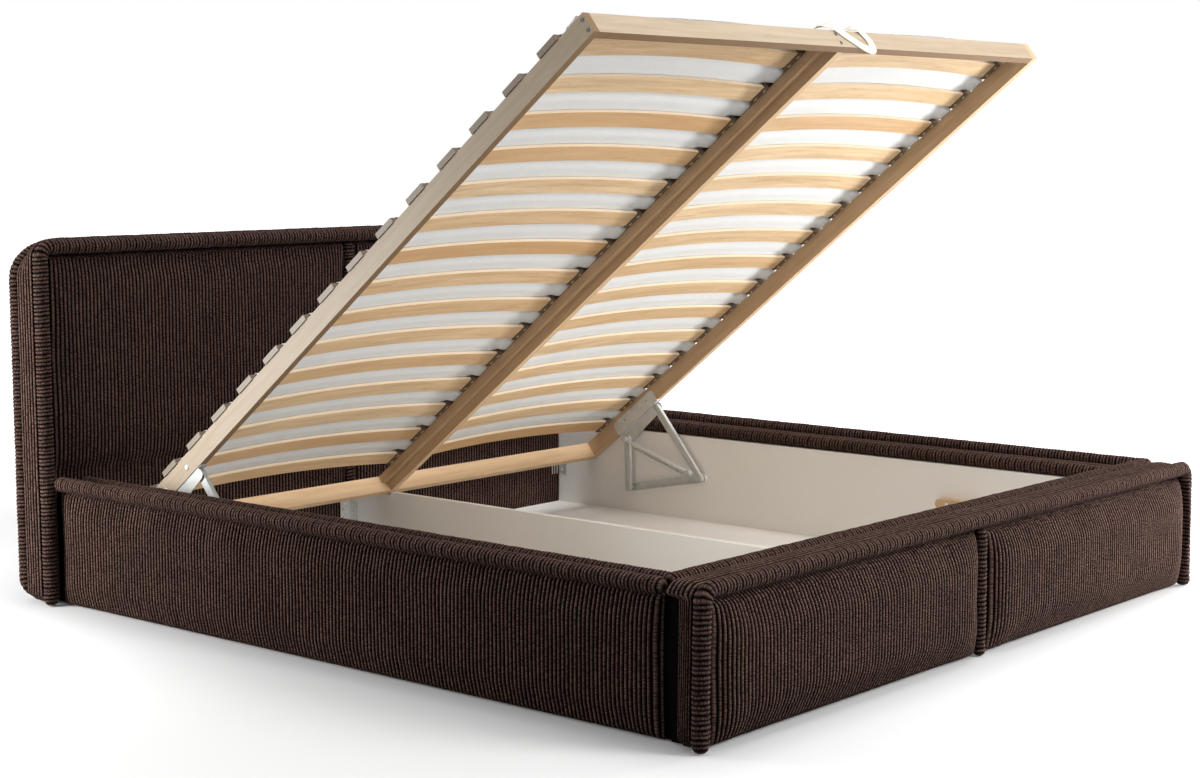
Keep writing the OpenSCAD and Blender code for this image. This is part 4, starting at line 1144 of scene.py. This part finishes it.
strap, i, j = grid_piece("Pull_strap", STRAP_SPANS * STRAP_FINE, STRAP_ROUND, strap_place)
write_pile(strap, np.ones(len(i)), j / STRAP_ROUND, i / STRAP_FINE * 0.016)
close_up(strap, merge=0.00002, angle=50)
webbing = woven("cream_webbing", (0.80, 0.76, 0.66), (0.52, 0.47, 0.38), 2600.0, 0.85, 0.0006)
dress(strap, webbing, "slat_frame")
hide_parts("pull_strap")


# ---- The room ----
# A plain white studio floor that runs out of the picture, broad soft lamps above and in front
# of the foot end, two small ones low down beside it and the head, and light from all round.
bpy.ops.object.select_all(action="DESELECT")
bpy.ops.mesh.primitive_plane_add(size=60, location=(0, 0, 0))
floor = named("studio_floor")
floor.location.z = -0.0002


def seen(material):
    """1 where the camera sees it, by itself or in metal or glass."""
    ray = add(material, "LightPath", out=None)
    straight = maths(material, "MAXIMUM", ray["Is Camera Ray"], ray["Is Glossy Ray"])
    return maths(material, "MAXIMUM", straight, ray["Is Transmission Ray"])


def slope(material, value, start, end, low, high):
    """A soft rise from low to high while the value goes from start to end."""
    return add(material, "MapRange", interpolation_type="SMOOTHSTEP", Value=value,
               From_Min=start, From_Max=end, To_Min=low, To_Max=high)


SEEN_FLOOR = 0.69
paint = new_finish("white_floor", Roughness=0.9, Specular_IOR_Level=0.1)
where = add(paint, "TexCoord", out="Object")
far = add(paint, "VectorMath", where, out="Value", operation="LENGTH")
glow = add(paint, "Emission", Strength=slope(paint, far, 1.6, 4.2, 0.02, 1.0))
# Bounced light sees a darker floor, darkest near the bed's foot-left corner, so that this corner
# of the bed falls dark: painted shade. The camera sees the floor evenly white.
near_foot = (-1.5, -1.4, 0)
corner = add(paint, "VectorMath", where, near_foot, out="Value", operation="DISTANCE")
shade = slope(paint, corner, 0.3, 2.1, 0.05, 0.42)
to_camera = add(paint, "LightPath", out="Is Camera Ray")
tone = maths(paint, "MULTIPLY_ADD", to_camera, maths(paint, "SUBTRACT", SEEN_FLOOR, shade), shade)
coloured(paint, tone)
dark = add(paint, "Emission", Strength=0.0)
pick = add(paint, "MixShader", seen(paint), dark, glow)
both = add(paint, "AddShader", shader_of(paint).outputs[0], pick)
join(paint, both, paint.node_tree.nodes["Material Output"].inputs["Surface"])
floor.data.materials.append(paint)

room = bpy.data.worlds.new("studio")
bpy.context.scene.world = room
room.use_nodes = True
way = add(room, "TexCoord", out="Generated")
facing = add(room, "VectorMath", way, (0.45, 0.45, 0.77), out="Value", operation="DOT_PRODUCT")
sky = room.node_tree.nodes["Background"]
fill_in(room, sky, {"Color": (1, 1, 1), "Strength": slope(room, facing, -0.5, 0.7, 0.34, 0.58)})
white = add(room, "Background", Color=(1, 1, 1), Strength=1.0)
pick = add(room, "MixShader", seen(room), sky.outputs[0], white)
join(room, pick, room.node_tree.nodes["World Output"].inputs["Surface"])


def lamp(name, place, aim, size, watts):
    data = bpy.data.lights.new(name, "AREA")
    data.shape = "DISK"
    data.size = size
    data.energy = watts
    light = bpy.data.objects.new(name, data)
    bpy.context.scene.collection.objects.link(light)
    way = Vector(aim) - Vector(place)
    turn = way.to_track_quat("-Z", "Y").to_matrix().to_4x4()
    light.matrix_world = Matrix.Translation(place) @ turn


lamp("overhead_lamp", (0.3, -0.4, 5.2), (0, 0, 0.2), 3.4, 165)
lamp("front_lamp", (0.9, -4.7, 2.5), (0.0, -0.9, 0.6), 2.0, 165)
lamp("foot_lamp", (2.5, -2.0, 0.25), (0.8, -1.1, 0.15), 0.7, 122)
lamp("head_side_lamp", (-2.3, 1.7, 0.6), (-1.0, 0.9, 0.2), 0.9, 52)

bpy.context.scene.view_settings.view_transform = "Standard"
